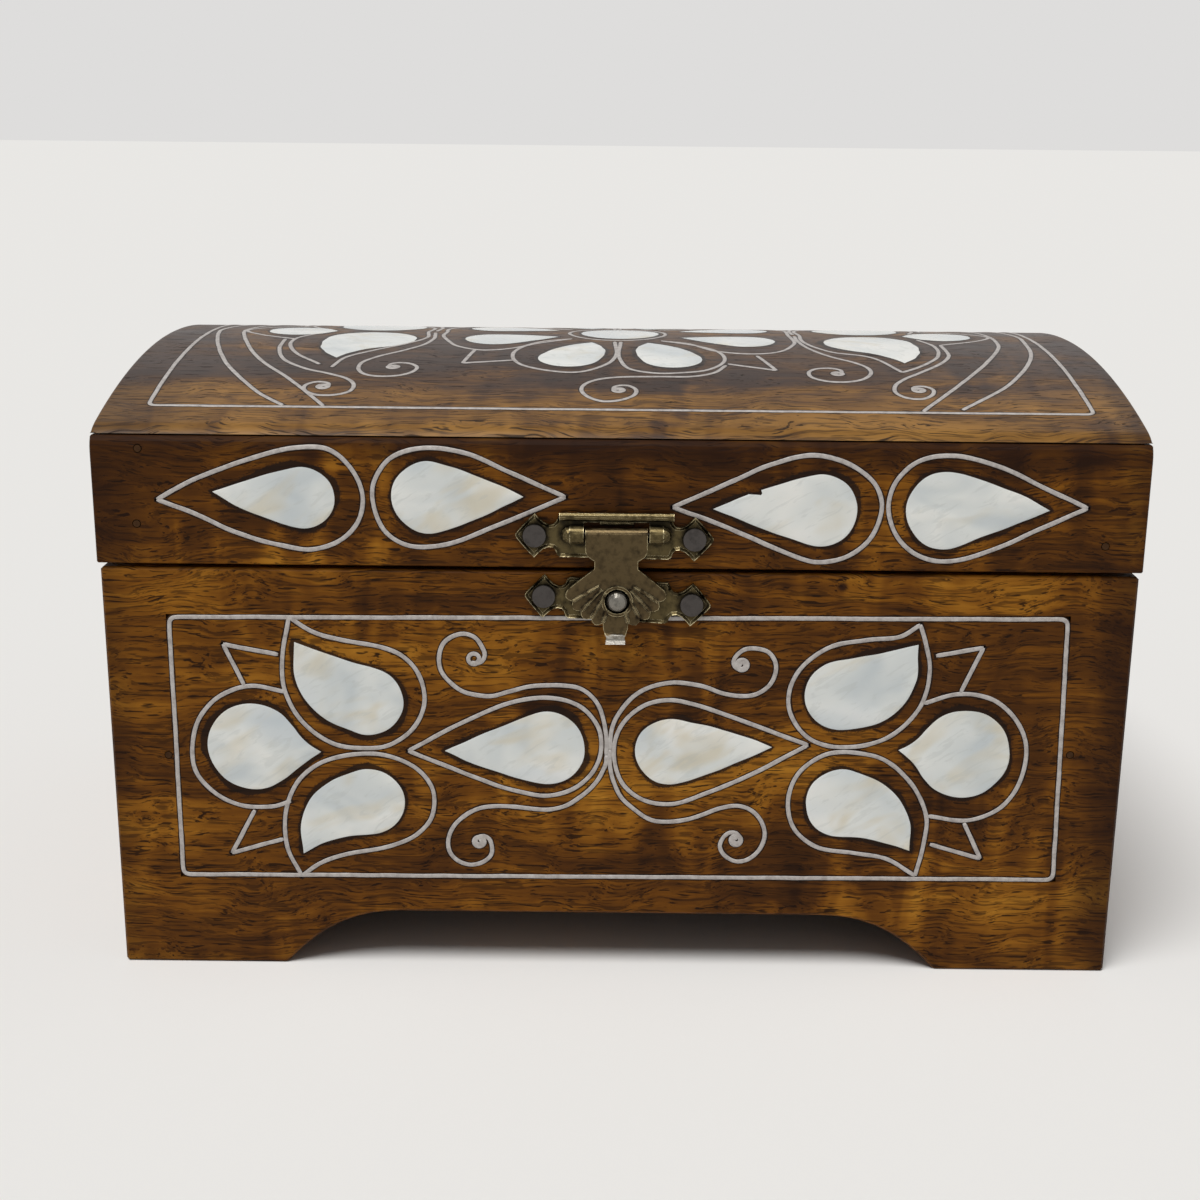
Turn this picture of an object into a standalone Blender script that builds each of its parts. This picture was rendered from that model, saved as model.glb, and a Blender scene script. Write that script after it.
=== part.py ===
"""Trinket box of dark wood with mother-of-pearl petals set into its front and its domed lid.

Frame: metres, +X along the box, -Y to the front, +Z up, origin under the middle of the box.
The box is three bodies: the carcass on the table, the lid on two butt hinges, and the hasp flap.
A table whose name ends in SHARES holds shares of the sizes that its comment names.
"""
import math

import bpy
import bmesh
from mathutils import Matrix, Vector

# Carcass and lid boards
BODY_W = 0.1597          # width of the carcass
BODY_D = 0.1100          # depth of the carcass
BODY_H = 0.0664          # floor to rim
WALL = 0.0100            # thickness of every side board
SEAM = 0.0007            # open line between rim and lid
LID_SIDE_H = 0.0197      # height of the lid's four boards
LID_LIP = 0.00035        # how far the lid stands out past the carcass, front and ends
DOME_EDGE = 0.0005       # springing line of the dome above its joint
DOME_RISE = 0.00925      # rise of the dome from there to its crest
ROLL_OVER_R = 0.0045     # rounding where the dome rolls over into the lid's front and back
FLOOR_Z = 0.0100         # underside of the bottom panel
FLOOR_T = 0.0050         # thickness of the bottom panel
GAP = 0.00025            # clearance in the joints between boards
EDGE_SOFT = 0.0004       # broken edge of the carcass boards
LID_SOFT = 0.0002        # broken edge of the lid boards

# Bracket feet
FOOT_W = 0.0270          # foot, measured along the board at the floor
ARCH_SHIFT = -0.0007     # the front's arch was sawn this far off the middle
ARCH_H = 0.0093          # height of the arch between two feet
ARCH_RUN = 0.0190        # length of the curve from foot to flat
ARCH_POWER = 2.3         # how steeply that curve leaves the foot

# Inlay
PEARL_T = 0.0012         # thickness of a pearl petal
PEARL_FIT = 0.0003       # clearance round a petal, filled with dark cement on the real box
WIRE_W = 0.0007          # inlaid wire, across the line
WIRE_D = 0.0010          # inlaid wire, into the wood
WIRE_FIT = 0.00012       # clearance of a wire in its groove, and of a nail in its hole
NAIL_R = 0.00055         # finishing nail in the boards
NAIL_L = 0.0180
TOP_DISC_R = 0.0070      # disc in the middle of the lid's top
FULL_SHARE = 0.36        # extra reach of a petal's side for each right angle of lean
TIP_SHARE = 0.5          # a pocket's sharp tip is kept to its clearance over this

# Petals (see petal): tip, hub, radius over their distance, lean of the left and the right side.
# Carcass front: across over half BODY_W, height over BODY_H
FRONT_PETAL_SHARES = {
    "leaf_upper_left": ((-0.632, 0.824), (-0.491, 0.679), 0.381, 0.52, -0.04),
    "leaf_lower_left": ((-0.629, 0.289), (-0.492, 0.425), 0.398, -0.17, 0.53),
    "round_petal_left": ((-0.585, 0.551), (-0.720, 0.563), 0.674, -0.17, -0.04),
    "drop_left": ((-0.342, 0.557), (-0.139, 0.566), 0.376, 0.09, 0.04),
    "leaf_upper_right": ((0.584, 0.833), (0.438, 0.705), 0.400, -0.02, 0.61),
    "leaf_lower_right": ((0.590, 0.313), (0.448, 0.434), 0.415, 0.50, -0.11),
    "round_petal_right": ((0.555, 0.571), (0.684, 0.563), 0.713, -0.10, -0.16),
    "drop_right": ((0.307, 0.575), (0.104, 0.560), 0.339, 0.09, 0.06),
}
# Lid front: across over half the lid's width, height over LID_SIDE_H
LID_PETAL_SHARES = {
    "drop_1": ((-0.773, 0.574), (-0.601, 0.533), 0.351, 0.12, 0.03),
    "drop_2": ((-0.182, 0.558), (-0.363, 0.543), 0.388, 0.07, 0.06),
    "drop_3": ((0.175, 0.477), (0.380, 0.472), 0.345, 0.03, 0.06),
    "drop_4": ((0.814, 0.492), (0.616, 0.482), 0.382, 0.10, 0.01),
}
# Lid top, right front quarter: across over half the lid's width, depth from its middle over half its depth
TOP_PETAL_SHARES = {
    "inner_petal": ((0.060, -0.196), (0.107, -0.419), 0.404, 0.29, 0.24),
    "outer_petal": ((0.135, -0.091), (0.272, -0.149), 0.471, 0.11, 0.11),
    "scroll_leaf": ((0.590, -0.442), (0.540, -0.170), 0.503, 0.31, -0.22),
}
END_PETAL_SHARES = ((0.631, 0.0), (0.713, 0.0), 0.879, 0.0, 0.0)
# Middle line of the border wires: corners on the front, half length and half depth on the top
FRONT_BORDER_SHARES = ((-0.873, 0.232), (0.882, 0.2425), (0.869, 0.898), (-0.873, 0.881))
TOP_BORDER_SHARES = (0.912, 0.847)
# Finishing nails: side, distance from the board's end over WALL, height over the board's height
BODY_NAIL_SHARES = ((-1, 0.885, 0.539), (1, 0.835, 0.563))
LID_NAIL_SHARES = ((-1, 0.730, 0.904), (-1, 0.650, 0.315), (1, 0.610, 0.213))

# Hasp
HASP_X = -0.0005         # middle of the hasp from the middle of the box
PLATE_T = 0.0005         # sheet of the two plates
PLATE_RIM = 0.0003       # raised line round a plate
RIM_W = 0.00045          # width of that line
PLATE_BODY = 0.0032      # half height of a plate's middle
PLATE_OFF = 0.00015      # clearance behind a plate
BOSS_R = 0.0034          # half height of the diamond end
UPPER_HALF = 0.0122      # nail centre from the upper plate's middle
UPPER_SHIFT = -0.0003    # upper plate, off the middle of the hasp
UPPER_RISE = 0.0050      # and above the lid's lower edge
UPPER_TILT = math.radians(-0.9)
LOWER_HALF = 0.0114      # nail centre from the lower plate's middle
LOWER_SHIFT = 0.0003
LOWER_DROP = 0.0043      # lower plate below the rim
LOWER_TILT = math.radians(-2.9)
HEAD_R = 0.00175         # plate nail head
HEAD_T = 0.0006
PLATE_NAIL_R = 0.00055   # shank of a plate nail and of the stud's tail
PLATE_NAIL_L = 0.0040
# Edge of a plate: across from the nail over BOSS_R; height over PLATE_BODY, then over BOSS_R
BODY_EDGE_SHARES = ((-1.16, 1.0), (-1.04, 0.92), (-0.97, 0.70))
BOSS_EDGE_SHARES = ((-0.84, 0.53), (-0.66, 0.50), (-0.40, 0.60), (-0.18, 0.80), (0.0, 1.0), (0.24, 0.76),
                    (0.54, 0.43), (0.76, 0.17), (0.84, 0.06))
PIN_RISE = 0.0055        # the flap's pin above the lid's lower edge
PIN_R = 0.00050
PIN_FIT = 0.0001         # running clearance round the flap pin and the hinge pins
ROLL_R = 0.0011          # rolled top of the flap
KNUCKLE_R = 0.0014       # cheeks of the upper plate
CHEEK_L = 0.0021
CHEEK_END_SHARE = 0.93   # rounded end of a cheek over KNUCKLE_R
BAR_R = 0.00065          # rolled bar along the top of the upper plate
BAR_HALF = 0.0087
LIP_SHARE = 0.6          # rolled lip of the window over BAR_R
BORE_SHARE = 0.8         # how far the pin enters a cheek over CHEEK_L
WINDOW_FIT = 0.0003      # air between the flap and the window
FLAP_L = 0.0168          # pin to the lower end of the lifting tab
FLAP_TOP_HALF = 0.0047   # half width of the flap under its roll
FLAP_WAIST_HALF = 0.0033
FLAP_T = 0.0007
SHOULDER_DROP = 0.0024   # pin down to where the flap starts to narrow
JOG_DROP = 0.0038        # pin down to where it steps back
SHELL_R = 0.0084         # radius of the flap's shell
SHELL_DROP = 0.0063      # pin down to the shell's centre
SHELL_RISE_SHARES = (0.14, -0.12)  # top of the shell's edge and foot of the step over SHELL_R
SHELL_GAP = 0.0008       # air between the lower plate and the back of the shell
SHELL_DEG = 73.0         # half angle of the shell
LOBE_SHARE = 0.080       # depth of the notch between two lobes over SHELL_R
RIDGE_H = 0.0003        # height of the ridges between the lobes
# Half of a ridge: distance from the shell's centre and half width, both over SHELL_R
RIDGE_SHARES = ((0.36, 0.022), (0.62, 0.030), (0.90, 0.030))
RIDGE_SOFT_SHARE = 0.5   # rounding of a ridge over its height
TAB_HALF = 0.0015        # half width of the lifting tab
# Root of the tab: half width, and depth below the shell, both over TAB_HALF
TAB_ROOT_SHARES = ((1.25, 0.0), (1.12, 0.45), (0.90, 0.90), (0.98, 1.05))
# Curl of the tab: height above its end over TAB_HALF, and how far it stands forward over TAB_HALF
CURL_SHARES = ((1.2, 0.0), (0.7, 0.16), (0.3, 0.50), (0.0, 0.90))
STUD_SHIFT = 0.0002      # stud, off the middle of the hasp
STUD_DROP = 0.0041       # and below the rim
STUD_R = 0.00160
STUD_FLAT_SHARE = 0.75   # rise of the stud's cap over STUD_R
HOLE_R = 0.00195
HOLE_RIM_SHARES = (1.24, 1.55)   # rim of the hole: its radius over HOLE_R, its thickness over FLAP_T

# Hinges
HINGE_X = 0.0450         # hinge centre from the middle of the box
HINGE_L = 0.0180
HINGE_R = 0.0014         # knuckle
HINGE_PIN_R = 0.0006
LEAF_T = 0.0006
LEAF_D = 0.0078          # leaf, from its pin into the board
STOP_DEG = 105.0         # the lid's back edge meets the rim here

# Derived places
LID_W = BODY_W + 2 * LID_LIP
LID_Z = BODY_H + SEAM
FRAME_TOP = LID_Z + LID_SIDE_H
DOME_Z = FRAME_TOP + GAP
ARC_Z = DOME_Z + DOME_EDGE
SEAM_Z = BODY_H + SEAM / 2
HASP_REACH = LID_LIP + PLATE_OFF + KNUCKLE_R + ROLL_R
HINGE_IN = SEAM / 2 / math.tan(math.radians(STOP_DEG) / 2)
HINGE_REACH = HINGE_R - HINGE_IN
FRONT_Y = (HASP_REACH - HINGE_REACH) / 2 - BODY_D / 2
BACK_Y = FRONT_Y + BODY_D
LID_FRONT_Y = FRONT_Y - LID_LIP
LID_D = BODY_D + LID_LIP
HINGE_Y = BACK_Y - HINGE_IN
DOME_R = (DOME_RISE ** 2 + (LID_D / 2) ** 2) / (2 * DOME_RISE)
DOME_Y = LID_FRONT_Y + LID_D / 2
DOME_C = ARC_Z + DOME_RISE - DOME_R
ROLL_OVER_Z = DOME_C + math.sqrt((DOME_R - ROLL_OVER_R) ** 2 - (LID_D / 2 - ROLL_OVER_R) ** 2)
ROLL_OVER_IN = LID_D / 2 - (LID_D / 2 - ROLL_OVER_R) * DOME_R / (DOME_R - ROLL_OVER_R)
UPPER_MID = (HASP_X + UPPER_SHIFT, LID_Z + UPPER_RISE)
LOWER_MID = (HASP_X + LOWER_SHIFT, BODY_H - LOWER_DROP)
PIN_Y = LID_FRONT_Y - PLATE_OFF - KNUCKLE_R
PIN_Z = LID_Z + PIN_RISE
TAB_Z = PIN_Z - FLAP_L
SHELL_Z = PIN_Z - SHELL_DROP
STUD_Z = BODY_H - STUD_DROP

# Counts
DOME_SEGS = 22
ROLL_SEGS = 3
SIDE_SEGS = 4
ARC_SEGS = 13
ROUND_SEGS = 20
SMALL_SEGS = 12
ARCH_SEGS = 8
SHELL_LOBES = 10
LOBE_SEGS = 4
SHOULDER_SEGS = 3
KNUCKLE_SEGS = 16

# Colours seen on the box: RGB, roughness, metallic
WOOD = ("walnut", (0.23, 0.105, 0.035), 0.45, 0.0)
PEARL = ("mother_of_pearl", (0.72, 0.77, 0.80), 0.22, 0.0)
WIRE = ("inlay_wire", (0.50, 0.47, 0.46), 0.35, 0.9)
BRASS = ("antique_brass", (0.24, 0.19, 0.09), 0.38, 0.95)
NAIL = ("dark_nail", (0.07, 0.06, 0.055), 0.55, 0.6)
STEEL = ("stud_metal", (0.42, 0.40, 0.34), 0.25, 0.95)


def clear_scene():
    for ob in list(bpy.data.objects):
        bpy.data.objects.remove(ob, do_unlink=True)


clear_scene()
BOX = bpy.data.collections.new("trinket_box")
CUT = bpy.data.collections.new("cutters")
bpy.context.scene.collection.children.link(BOX)
bpy.context.scene.collection.children.link(CUT)


def material(spec):
    name, colour, rough, metal = spec
    mat = bpy.data.materials.get(name)
    if mat is None:
        mat = bpy.data.materials.new(name)
        mat.use_nodes = True
        shader = mat.node_tree.nodes["Principled BSDF"]
        shader.inputs["Base Color"].default_value = (*colour, 1.0)
        shader.inputs["Roughness"].default_value = rough
        shader.inputs["Metallic"].default_value = metal
    return mat


def empty(name, place, parent=None):
    ob = bpy.data.objects.new(name, None)
    ob.empty_display_size = WALL
    ob.location = place
    BOX.objects.link(ob)
    if parent is not None:
        ob.parent = parent
        ob.matrix_parent_inverse = Matrix.Translation(parent.location).inverted()
    return ob


CARCASS = empty("carcass", (0, 0, 0))
LID = empty("lid_axis", (0, HINGE_Y, SEAM_Z), CARCASS)
FLAP = empty("flap_axis", (0, PIN_Y, PIN_Z), LID)
FLAP.matrix_parent_inverse = Matrix.Translation((0, HINGE_Y, SEAM_Z)).inverted()


def piece(name, bm, spec, body):
    """A named solid in the world frame, hung on the empty of its body."""
    bmesh.ops.recalc_face_normals(bm, faces=bm.faces)
    mesh = bpy.data.meshes.new(name)
    bm.to_mesh(mesh)
    bm.free()
    mesh.materials.append(material(spec))
    ob = bpy.data.objects.new(name, mesh)
    BOX.objects.link(ob)
    ob.parent = body
    world = Vector((0, 0, 0))
    if body is LID or body is FLAP:
        world = Vector((0, HINGE_Y, SEAM_Z))
    if body is FLAP:
        world = Vector((0, PIN_Y, PIN_Z))
    ob.matrix_parent_inverse = Matrix.Translation(world).inverted()
    return ob


def cutter(name, bm):
    bmesh.ops.recalc_face_normals(bm, faces=bm.faces)
    mesh = bpy.data.meshes.new(name)
    bm.to_mesh(mesh)
    bm.free()
    ob = bpy.data.objects.new(name, mesh)
    ob.display_type = "WIRE"
    ob.hide_render = True
    CUT.objects.link(ob)
    return ob


def carve(ob, tool, how="DIFFERENCE"):
    mod = ob.modifiers.new(tool.name, "BOOLEAN")
    mod.operation = how
    mod.solver = "EXACT"
    mod.object = tool


def soften(ob, width):
    mod = ob.modifiers.new("broken_edges", "BEVEL")
    mod.width = width
    mod.segments = 1
    mod.limit_method = "ANGLE"
    mod.angle_limit = math.radians(60)


def box(bm, lo, hi):
    """A block between two corners, added to bm."""
    size = [b - a for a, b in zip(lo, hi)]
    mid = [(a + b) / 2 for a, b in zip(lo, hi)]
    place = Matrix.Translation(mid) @ Matrix.Diagonal((*size, 1.0))
    bmesh.ops.create_cube(bm, size=1.0, matrix=place)
    return bm


def on_plane(point, depth, facing):
    """A point of a drawing on the front (x, z), the end (y, z) or the top (x, y), at a depth."""
    a, b = point
    return {"front": (a, depth, b), "end": (depth, a, b), "top": (a, b, depth)}[facing]


def prism(bm, outline, lo, hi, facing, band=None):
    """An outline extruded from lo to hi; with a band, only a band of that width inside it."""
    face = bm.faces.new([bm.verts.new(on_plane(p, lo, facing)) for p in outline])
    face.normal_update()
    faces = [face]
    if band is not None:
        faces = bmesh.ops.inset_region(bm, faces=faces, thickness=band, use_boundary=True,
                                       use_even_offset=True)["faces"]
        bmesh.ops.delete(bm, geom=[face], context="FACES_ONLY")
    made = bmesh.ops.extrude_face_region(bm, geom=faces)["geom"]
    moved = [part for part in made if isinstance(part, bmesh.types.BMVert)]
    bmesh.ops.translate(bm, verts=moved, vec=on_plane((0, 0), hi - lo, facing))
    return bm


def rod(bm, centre, radius, length, axis, segs=ROUND_SEGS, radius2=None):
    """A round bar (or cone) centred on a point, along X, Y or Z."""
    turn = {"X": Matrix.Rotation(math.pi / 2, 4, "Y"),
            "Y": Matrix.Rotation(math.pi / 2, 4, "X"),
            "Z": Matrix.Identity(4)}[axis]
    bmesh.ops.create_cone(bm, cap_ends=True, segments=segs, radius1=radius,
                          radius2=radius if radius2 is None else radius2,
                          depth=length, matrix=Matrix.Translation(centre) @ turn)
    return bm


def ball(bm, centre, radius, flat=1.0, segs=SMALL_SEGS):
    """A ball, pressed along Y by the share flat."""
    place = Matrix.Translation(centre) @ Matrix.Diagonal((1.0, flat, 1.0, 1.0))
    place = place @ Matrix.Rotation(math.pi / 2, 4, "X")
    bmesh.ops.create_uvsphere(bm, u_segments=segs, v_segments=segs // 2 + 1,
                              radius=radius, matrix=place)
    return bm


def grown(outline, by):
    """The outline moved outward by a clearance, with its sharp tips kept short."""
    area = sum(a[0] * b[1] - b[0] * a[1] for a, b in zip(outline, outline[1:] + outline[:1]))
    side = 1.0 if area > 0 else -1.0
    out = []
    for k, p in enumerate(outline):
        q0 = Vector(outline[k - 1])
        q1 = Vector(p)
        q2 = Vector(outline[(k + 1) % len(outline)])
        d0 = (q1 - q0).normalized()
        d1 = (q2 - q1).normalized()
        n0 = Vector((d0.y, -d0.x)) * side
        n1 = Vector((d1.y, -d1.x)) * side
        n = (n0 + n1).normalized()
        out.append(tuple(q1 + n * by / max(n.dot(n1), TIP_SHARE)))
    return out


def arc_z(y):
    """Height of the dome at depth y."""
    return DOME_C + math.sqrt(DOME_R ** 2 - (y - DOME_Y) ** 2)


def dome_shell(name, below, above):
    """The layer of the dome from below its face to above it, for cutting petals and pockets."""
    depths = [LID_FRONT_Y + LID_D * k / DOME_SEGS for k in range(DOME_SEGS + 1)]
    outer = [(y, arc_z(y) + above) for y in depths]
    inner = [(y, arc_z(y) - below) for y in reversed(depths)]
    return cutter(name, prism(bmesh.new(), outer + inner, -BODY_W, BODY_W, "end"))


# Petal shapes
def petal(tip, hub, round_share, lean_left, lean_right):
    """A petal: an arc about its hub, and a side on each hand that runs from the arc to a sharp tip.

    round_share is the arc's radius over the distance from hub to tip. A side of lean 0 is straight,
    one of more is full and one of less is hollow; lean is counted in right angles where side meets arc.
    """
    tip, hub = Vector(tip), Vector(hub)
    radius = round_share * (tip - hub).length
    along = (tip - hub).normalized()
    across = Vector((-along.y, along.x))

    def on_arc(angle):
        return hub + radius * (along * math.cos(angle) + across * math.sin(angle))

    def join(lean):
        return math.acos(round_share) + lean * math.pi / 2

    def side(hand, lean):
        angle = join(lean)
        foot = on_arc(hand * angle)
        tangent = along * math.sin(angle) - hand * across * math.cos(angle)
        pull = foot + tangent * (foot - tip).length * (1 / 2 + FULL_SHARE * max(lean, 0))
        for k in range(SIDE_SEGS):
            s = k / SIDE_SEGS
            yield (1 - s) ** 2 * tip + 2 * s * (1 - s) * pull + s ** 2 * foot

    start, stop = join(lean_left), 2 * math.pi - join(lean_right)
    arc = [on_arc(start + (stop - start) * k / ARC_SEGS) for k in range(ARC_SEGS + 1)]
    back = list(side(-1, lean_right))[1:]
    return [tuple(p) for p in [*side(1, lean_left), *arc, *reversed(back)]]


def petal_on(half, height, low, shares):
    """The petal of a row of shares on a board of this half width and height."""
    tip, hub, *rest = shares
    spots = [(half * x, low + height * y) for x, y in (tip, hub)]
    return petal(*spots, *rest)


def front_outlines():
    """Name and outline of each petal on the carcass front."""
    for name, shares in FRONT_PETAL_SHARES.items():
        yield f"front_{name}", petal_on(BODY_W / 2, BODY_H, 0, shares)


def lid_front_outlines():
    for name, shares in LID_PETAL_SHARES.items():
        yield f"lid_{name}", petal_on(LID_W / 2, LID_SIDE_H, LID_Z, shares)


def top_outlines():
    """Name and outline of each petal on the lid's top, seen from above; all but the disc are mirrored."""
    def flipped(points, sx, sy):
        return [(sx * x, DOME_Y + sy * (y - DOME_Y)) for x, y in points]

    turns = [2 * math.pi * k / ROUND_SEGS for k in range(ROUND_SEGS)]
    yield "top_disc", [(TOP_DISC_R * math.cos(t), DOME_Y + TOP_DISC_R * math.sin(t)) for t in turns]
    for sx, hand in ((-1, "left"), (1, "right")):
        for kind, shares in TOP_PETAL_SHARES.items():
            outline = petal_on(LID_W / 2, LID_D / 2, DOME_Y, shares)
            for sy, depth in ((1, "front"), (-1, "back")):
                yield f"top_{kind}_{depth}_{hand}", flipped(outline, sx, sy)
        end = petal_on(LID_W / 2, LID_D / 2, DOME_Y, END_PETAL_SHARES)
        yield f"top_end_petal_{hand}", flipped(end, sx, 1)


# Boards
def arch_board(length, mid, foot_w, shift=0.0):
    """Outline of a side board with its bracket feet, seen square on; shift moves the arch along."""
    half = length / 2
    foot = half - foot_w
    curve = []
    for k in range(ARCH_SEGS + 1):
        t = k / ARCH_SEGS
        curve.append((foot - ARCH_RUN * t, ARCH_H * (1 - (1 - t) ** ARCH_POWER)))
    right = [(mid + shift + x, z) for x, z in curve]
    left = [(mid + shift - x, z) for x, z in reversed(curve)]
    return ([(mid - half, 0), (mid - half, BODY_H), (mid + half, BODY_H), (mid + half, 0)]
            + right + left)


def roll_over(low, high):
    """The rounding between two heights: distances behind the lid's face, and heights."""
    start, stop = (math.asin((z - ROLL_OVER_Z) / ROLL_OVER_R) for z in (low, high))
    turns = [start + (stop - start) * k / ROLL_SEGS for k in range(ROLL_SEGS + 1)]
    return [(ROLL_OVER_R * (1 - math.cos(t)), ROLL_OVER_Z + ROLL_OVER_R * math.sin(t)) for t in turns]


def lid_side_section():
    """Section of the lid's front board from its lower corner up, as distances behind its face."""
    return [(WALL, FRAME_TOP), (WALL, LID_Z), (0, LID_Z)] + roll_over(ROLL_OVER_Z, FRAME_TOP)


def dome_section():
    """Section of the domed board: flat below, rolled over at both edges, an arc between."""
    edge = roll_over(DOME_Z, arc_z(LID_FRONT_Y + ROLL_OVER_IN))
    run = LID_D - 2 * ROLL_OVER_IN
    depths = [LID_FRONT_Y + ROLL_OVER_IN + run * k / DOME_SEGS for k in range(1, DOME_SEGS)]
    front = [(LID_FRONT_Y + d, z) for d, z in edge]
    back = [(BACK_Y - d, z) for d, z in reversed(edge)]
    return front + [(y, arc_z(y)) for y in depths] + back


def add_carcass():
    half = BODY_W / 2
    inset = WALL + GAP
    outline = arch_board(BODY_W, 0, FOOT_W, ARCH_SHIFT)
    end_outline = arch_board(BODY_D - 2 * inset, (FRONT_Y + BACK_Y) / 2, FOOT_W - inset)
    boards = {
        "front_board": prism(bmesh.new(), outline, FRONT_Y, FRONT_Y + WALL, "front"),
        "back_board": prism(bmesh.new(), outline, BACK_Y - WALL, BACK_Y, "front"),
        "left_end_board": prism(bmesh.new(), end_outline, -half, WALL - half, "end"),
        "right_end_board": prism(bmesh.new(), end_outline, half - WALL, half, "end"),
        "bottom_panel": box(bmesh.new(), (inset - half, FRONT_Y + inset, FLOOR_Z),
                            (half - inset, BACK_Y - inset, FLOOR_Z + FLOOR_T)),
    }
    made = {name: piece(name, bm, WOOD, CARCASS) for name, bm in boards.items()}
    for name in ("front_board", "back_board", "left_end_board", "right_end_board"):
        soften(made[name], EDGE_SOFT)
    return made


def add_lid():
    half = LID_W / 2
    inset = WALL + GAP
    front = [(LID_FRONT_Y + d, z) for d, z in lid_side_section()]
    back = [(BACK_Y - d, z) for d, z in lid_side_section()]
    ends = (LID_FRONT_Y + inset, LID_Z), (BACK_Y - inset, FRAME_TOP)
    boards = {
        "lid_front_board": prism(bmesh.new(), front, -half, half, "end"),
        "lid_back_board": prism(bmesh.new(), back, -half, half, "end"),
        "lid_left_end_board": box(bmesh.new(), (-half, *ends[0]), (WALL - half, *ends[1])),
        "lid_right_end_board": box(bmesh.new(), (half - WALL, *ends[0]), (half, *ends[1])),
        "lid_top_board": prism(bmesh.new(), dome_section(), -half, half, "end"),
    }
    made = {name: piece(name, bm, WOOD, LID) for name, bm in boards.items()}
    for board in made.values():
        soften(board, LID_SOFT)
    return made


# Inlay
def add_flat_inlay(board, face_y, outlines, body, tool_name):
    """Petals let into an upright face, each in its own pocket."""
    pockets = bmesh.new()
    for name, outline in outlines:
        shape = prism(bmesh.new(), outline, face_y, face_y + PEARL_T, "front")
        piece(f"pearl_{name}", shape, PEARL, body)
        prism(pockets, grown(outline, PEARL_FIT), face_y - PEARL_T, face_y + PEARL_T + PEARL_FIT, "front")
    carve(board, cutter(tool_name, pockets))


def add_top_inlay(board):
    """Petals that follow the dome: a straight petal cut down to a layer of the dome."""
    layer = dome_shell("petal_layer", PEARL_T, 0)
    pocket_layer = dome_shell("pocket_layer", PEARL_T + PEARL_FIT, PEARL_T)
    pockets = bmesh.new()
    low, high = DOME_Z, ARC_Z + 2 * DOME_RISE
    for name, outline in top_outlines():
        ob = piece(f"pearl_{name}", prism(bmesh.new(), outline, low, high, "top"), PEARL, LID)
        carve(ob, layer, "INTERSECT")
        prism(pockets, grown(outline, PEARL_FIT), low, high, "top")
    tool = cutter("top_pockets", pockets)
    carve(tool, pocket_layer, "INTERSECT")
    carve(board, tool)


def add_borders(front, top):
    """The straight border lines of the front and of the dome, each in its groove."""
    outer, wide = WIRE_W / 2 + WIRE_FIT, WIRE_W + 2 * WIRE_FIT
    line = [(BODY_W / 2 * x, BODY_H * z) for x, z in FRONT_BORDER_SHARES]
    wire = prism(bmesh.new(), grown(line, WIRE_W / 2), FRONT_Y, FRONT_Y + WIRE_D, "front", WIRE_W)
    piece("front_border_wire", wire, WIRE, CARCASS)
    low, high = FRONT_Y - WIRE_D, FRONT_Y + WIRE_D + WIRE_FIT
    groove = prism(bmesh.new(), grown(line, outer), low, high, "front", wide)
    carve(front, cutter("front_border_groove", groove))

    half_x, half_y = LID_W / 2 * TOP_BORDER_SHARES[0], LID_D / 2 * TOP_BORDER_SHARES[1]
    line = [(a * half_x, DOME_Y + b * half_y) for a, b in ((-1, -1), (1, -1), (1, 1), (-1, 1))]
    low, high = ARC_Z, ARC_Z + 2 * DOME_RISE
    wire = piece("top_border_wire", prism(bmesh.new(), grown(line, WIRE_W / 2), low, high, "top", WIRE_W),
                 WIRE, LID)
    carve(wire, dome_shell("wire_layer", WIRE_D, 0), "INTERSECT")
    groove = cutter("top_border_groove", prism(bmesh.new(), grown(line, outer), low, high, "top", wide))
    carve(groove, dome_shell("groove_layer", WIRE_D + WIRE_FIT, WIRE_D), "INTERSECT")
    carve(top, groove)


def add_board_nails(boards, face_y, size, shares, body, name):
    """Finishing nails through a front board, given as (half width, low edge, height), into its neighbours."""
    half, low, height = size
    holes = bmesh.new()
    for k, (side, in_share, up_share) in enumerate(shares):
        mid = (side * (half - in_share * WALL), face_y + NAIL_L / 2, low + up_share * height)
        piece(f"{name}_{k + 1}", rod(bmesh.new(), mid, NAIL_R, NAIL_L, "Y", SMALL_SEGS), NAIL, body)
        rod(holes, mid, NAIL_R + WIRE_FIT, NAIL_L + 2 * WIRE_FIT, "Y", SMALL_SEGS)
    tool = cutter(f"{name}_holes", holes)
    for board in boards:
        carve(board, tool)


# Hasp
def plate_outline(mid, tilt, boss_x):
    """A hasp plate: a long middle, an ogee waist and a diamond end for its nail, both ways."""
    quarter = [(boss_x + BOSS_R * x, PLATE_BODY * z) for x, z in BODY_EDGE_SHARES]
    quarter += [(boss_x + BOSS_R * x, BOSS_R * z) for x, z in BOSS_EDGE_SHARES]
    half = quarter + [(x, -z) for x, z in reversed(quarter)]
    points = half + [(-x, -z) for x, z in half]
    c, s = math.cos(tilt), math.sin(tilt)
    return [(mid[0] + c * x - s * z, mid[1] + s * x + c * z) for x, z in points]


def stamped_plate(outline, back_y):
    """Sheet with a raised line round its edge: the face is inset and pressed back."""
    bm = prism(bmesh.new(), outline, back_y - PLATE_T - PLATE_RIM, back_y, "front")
    bmesh.ops.recalc_face_normals(bm, faces=bm.faces)
    face = min((f for f in bm.faces if abs(f.normal.y) > 0.9), key=lambda f: f.calc_center_median().y)
    bmesh.ops.inset_region(bm, faces=[face], thickness=RIM_W, use_even_offset=True)
    for v in face.verts:
        v.co.y += PLATE_RIM
    return bm


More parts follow.
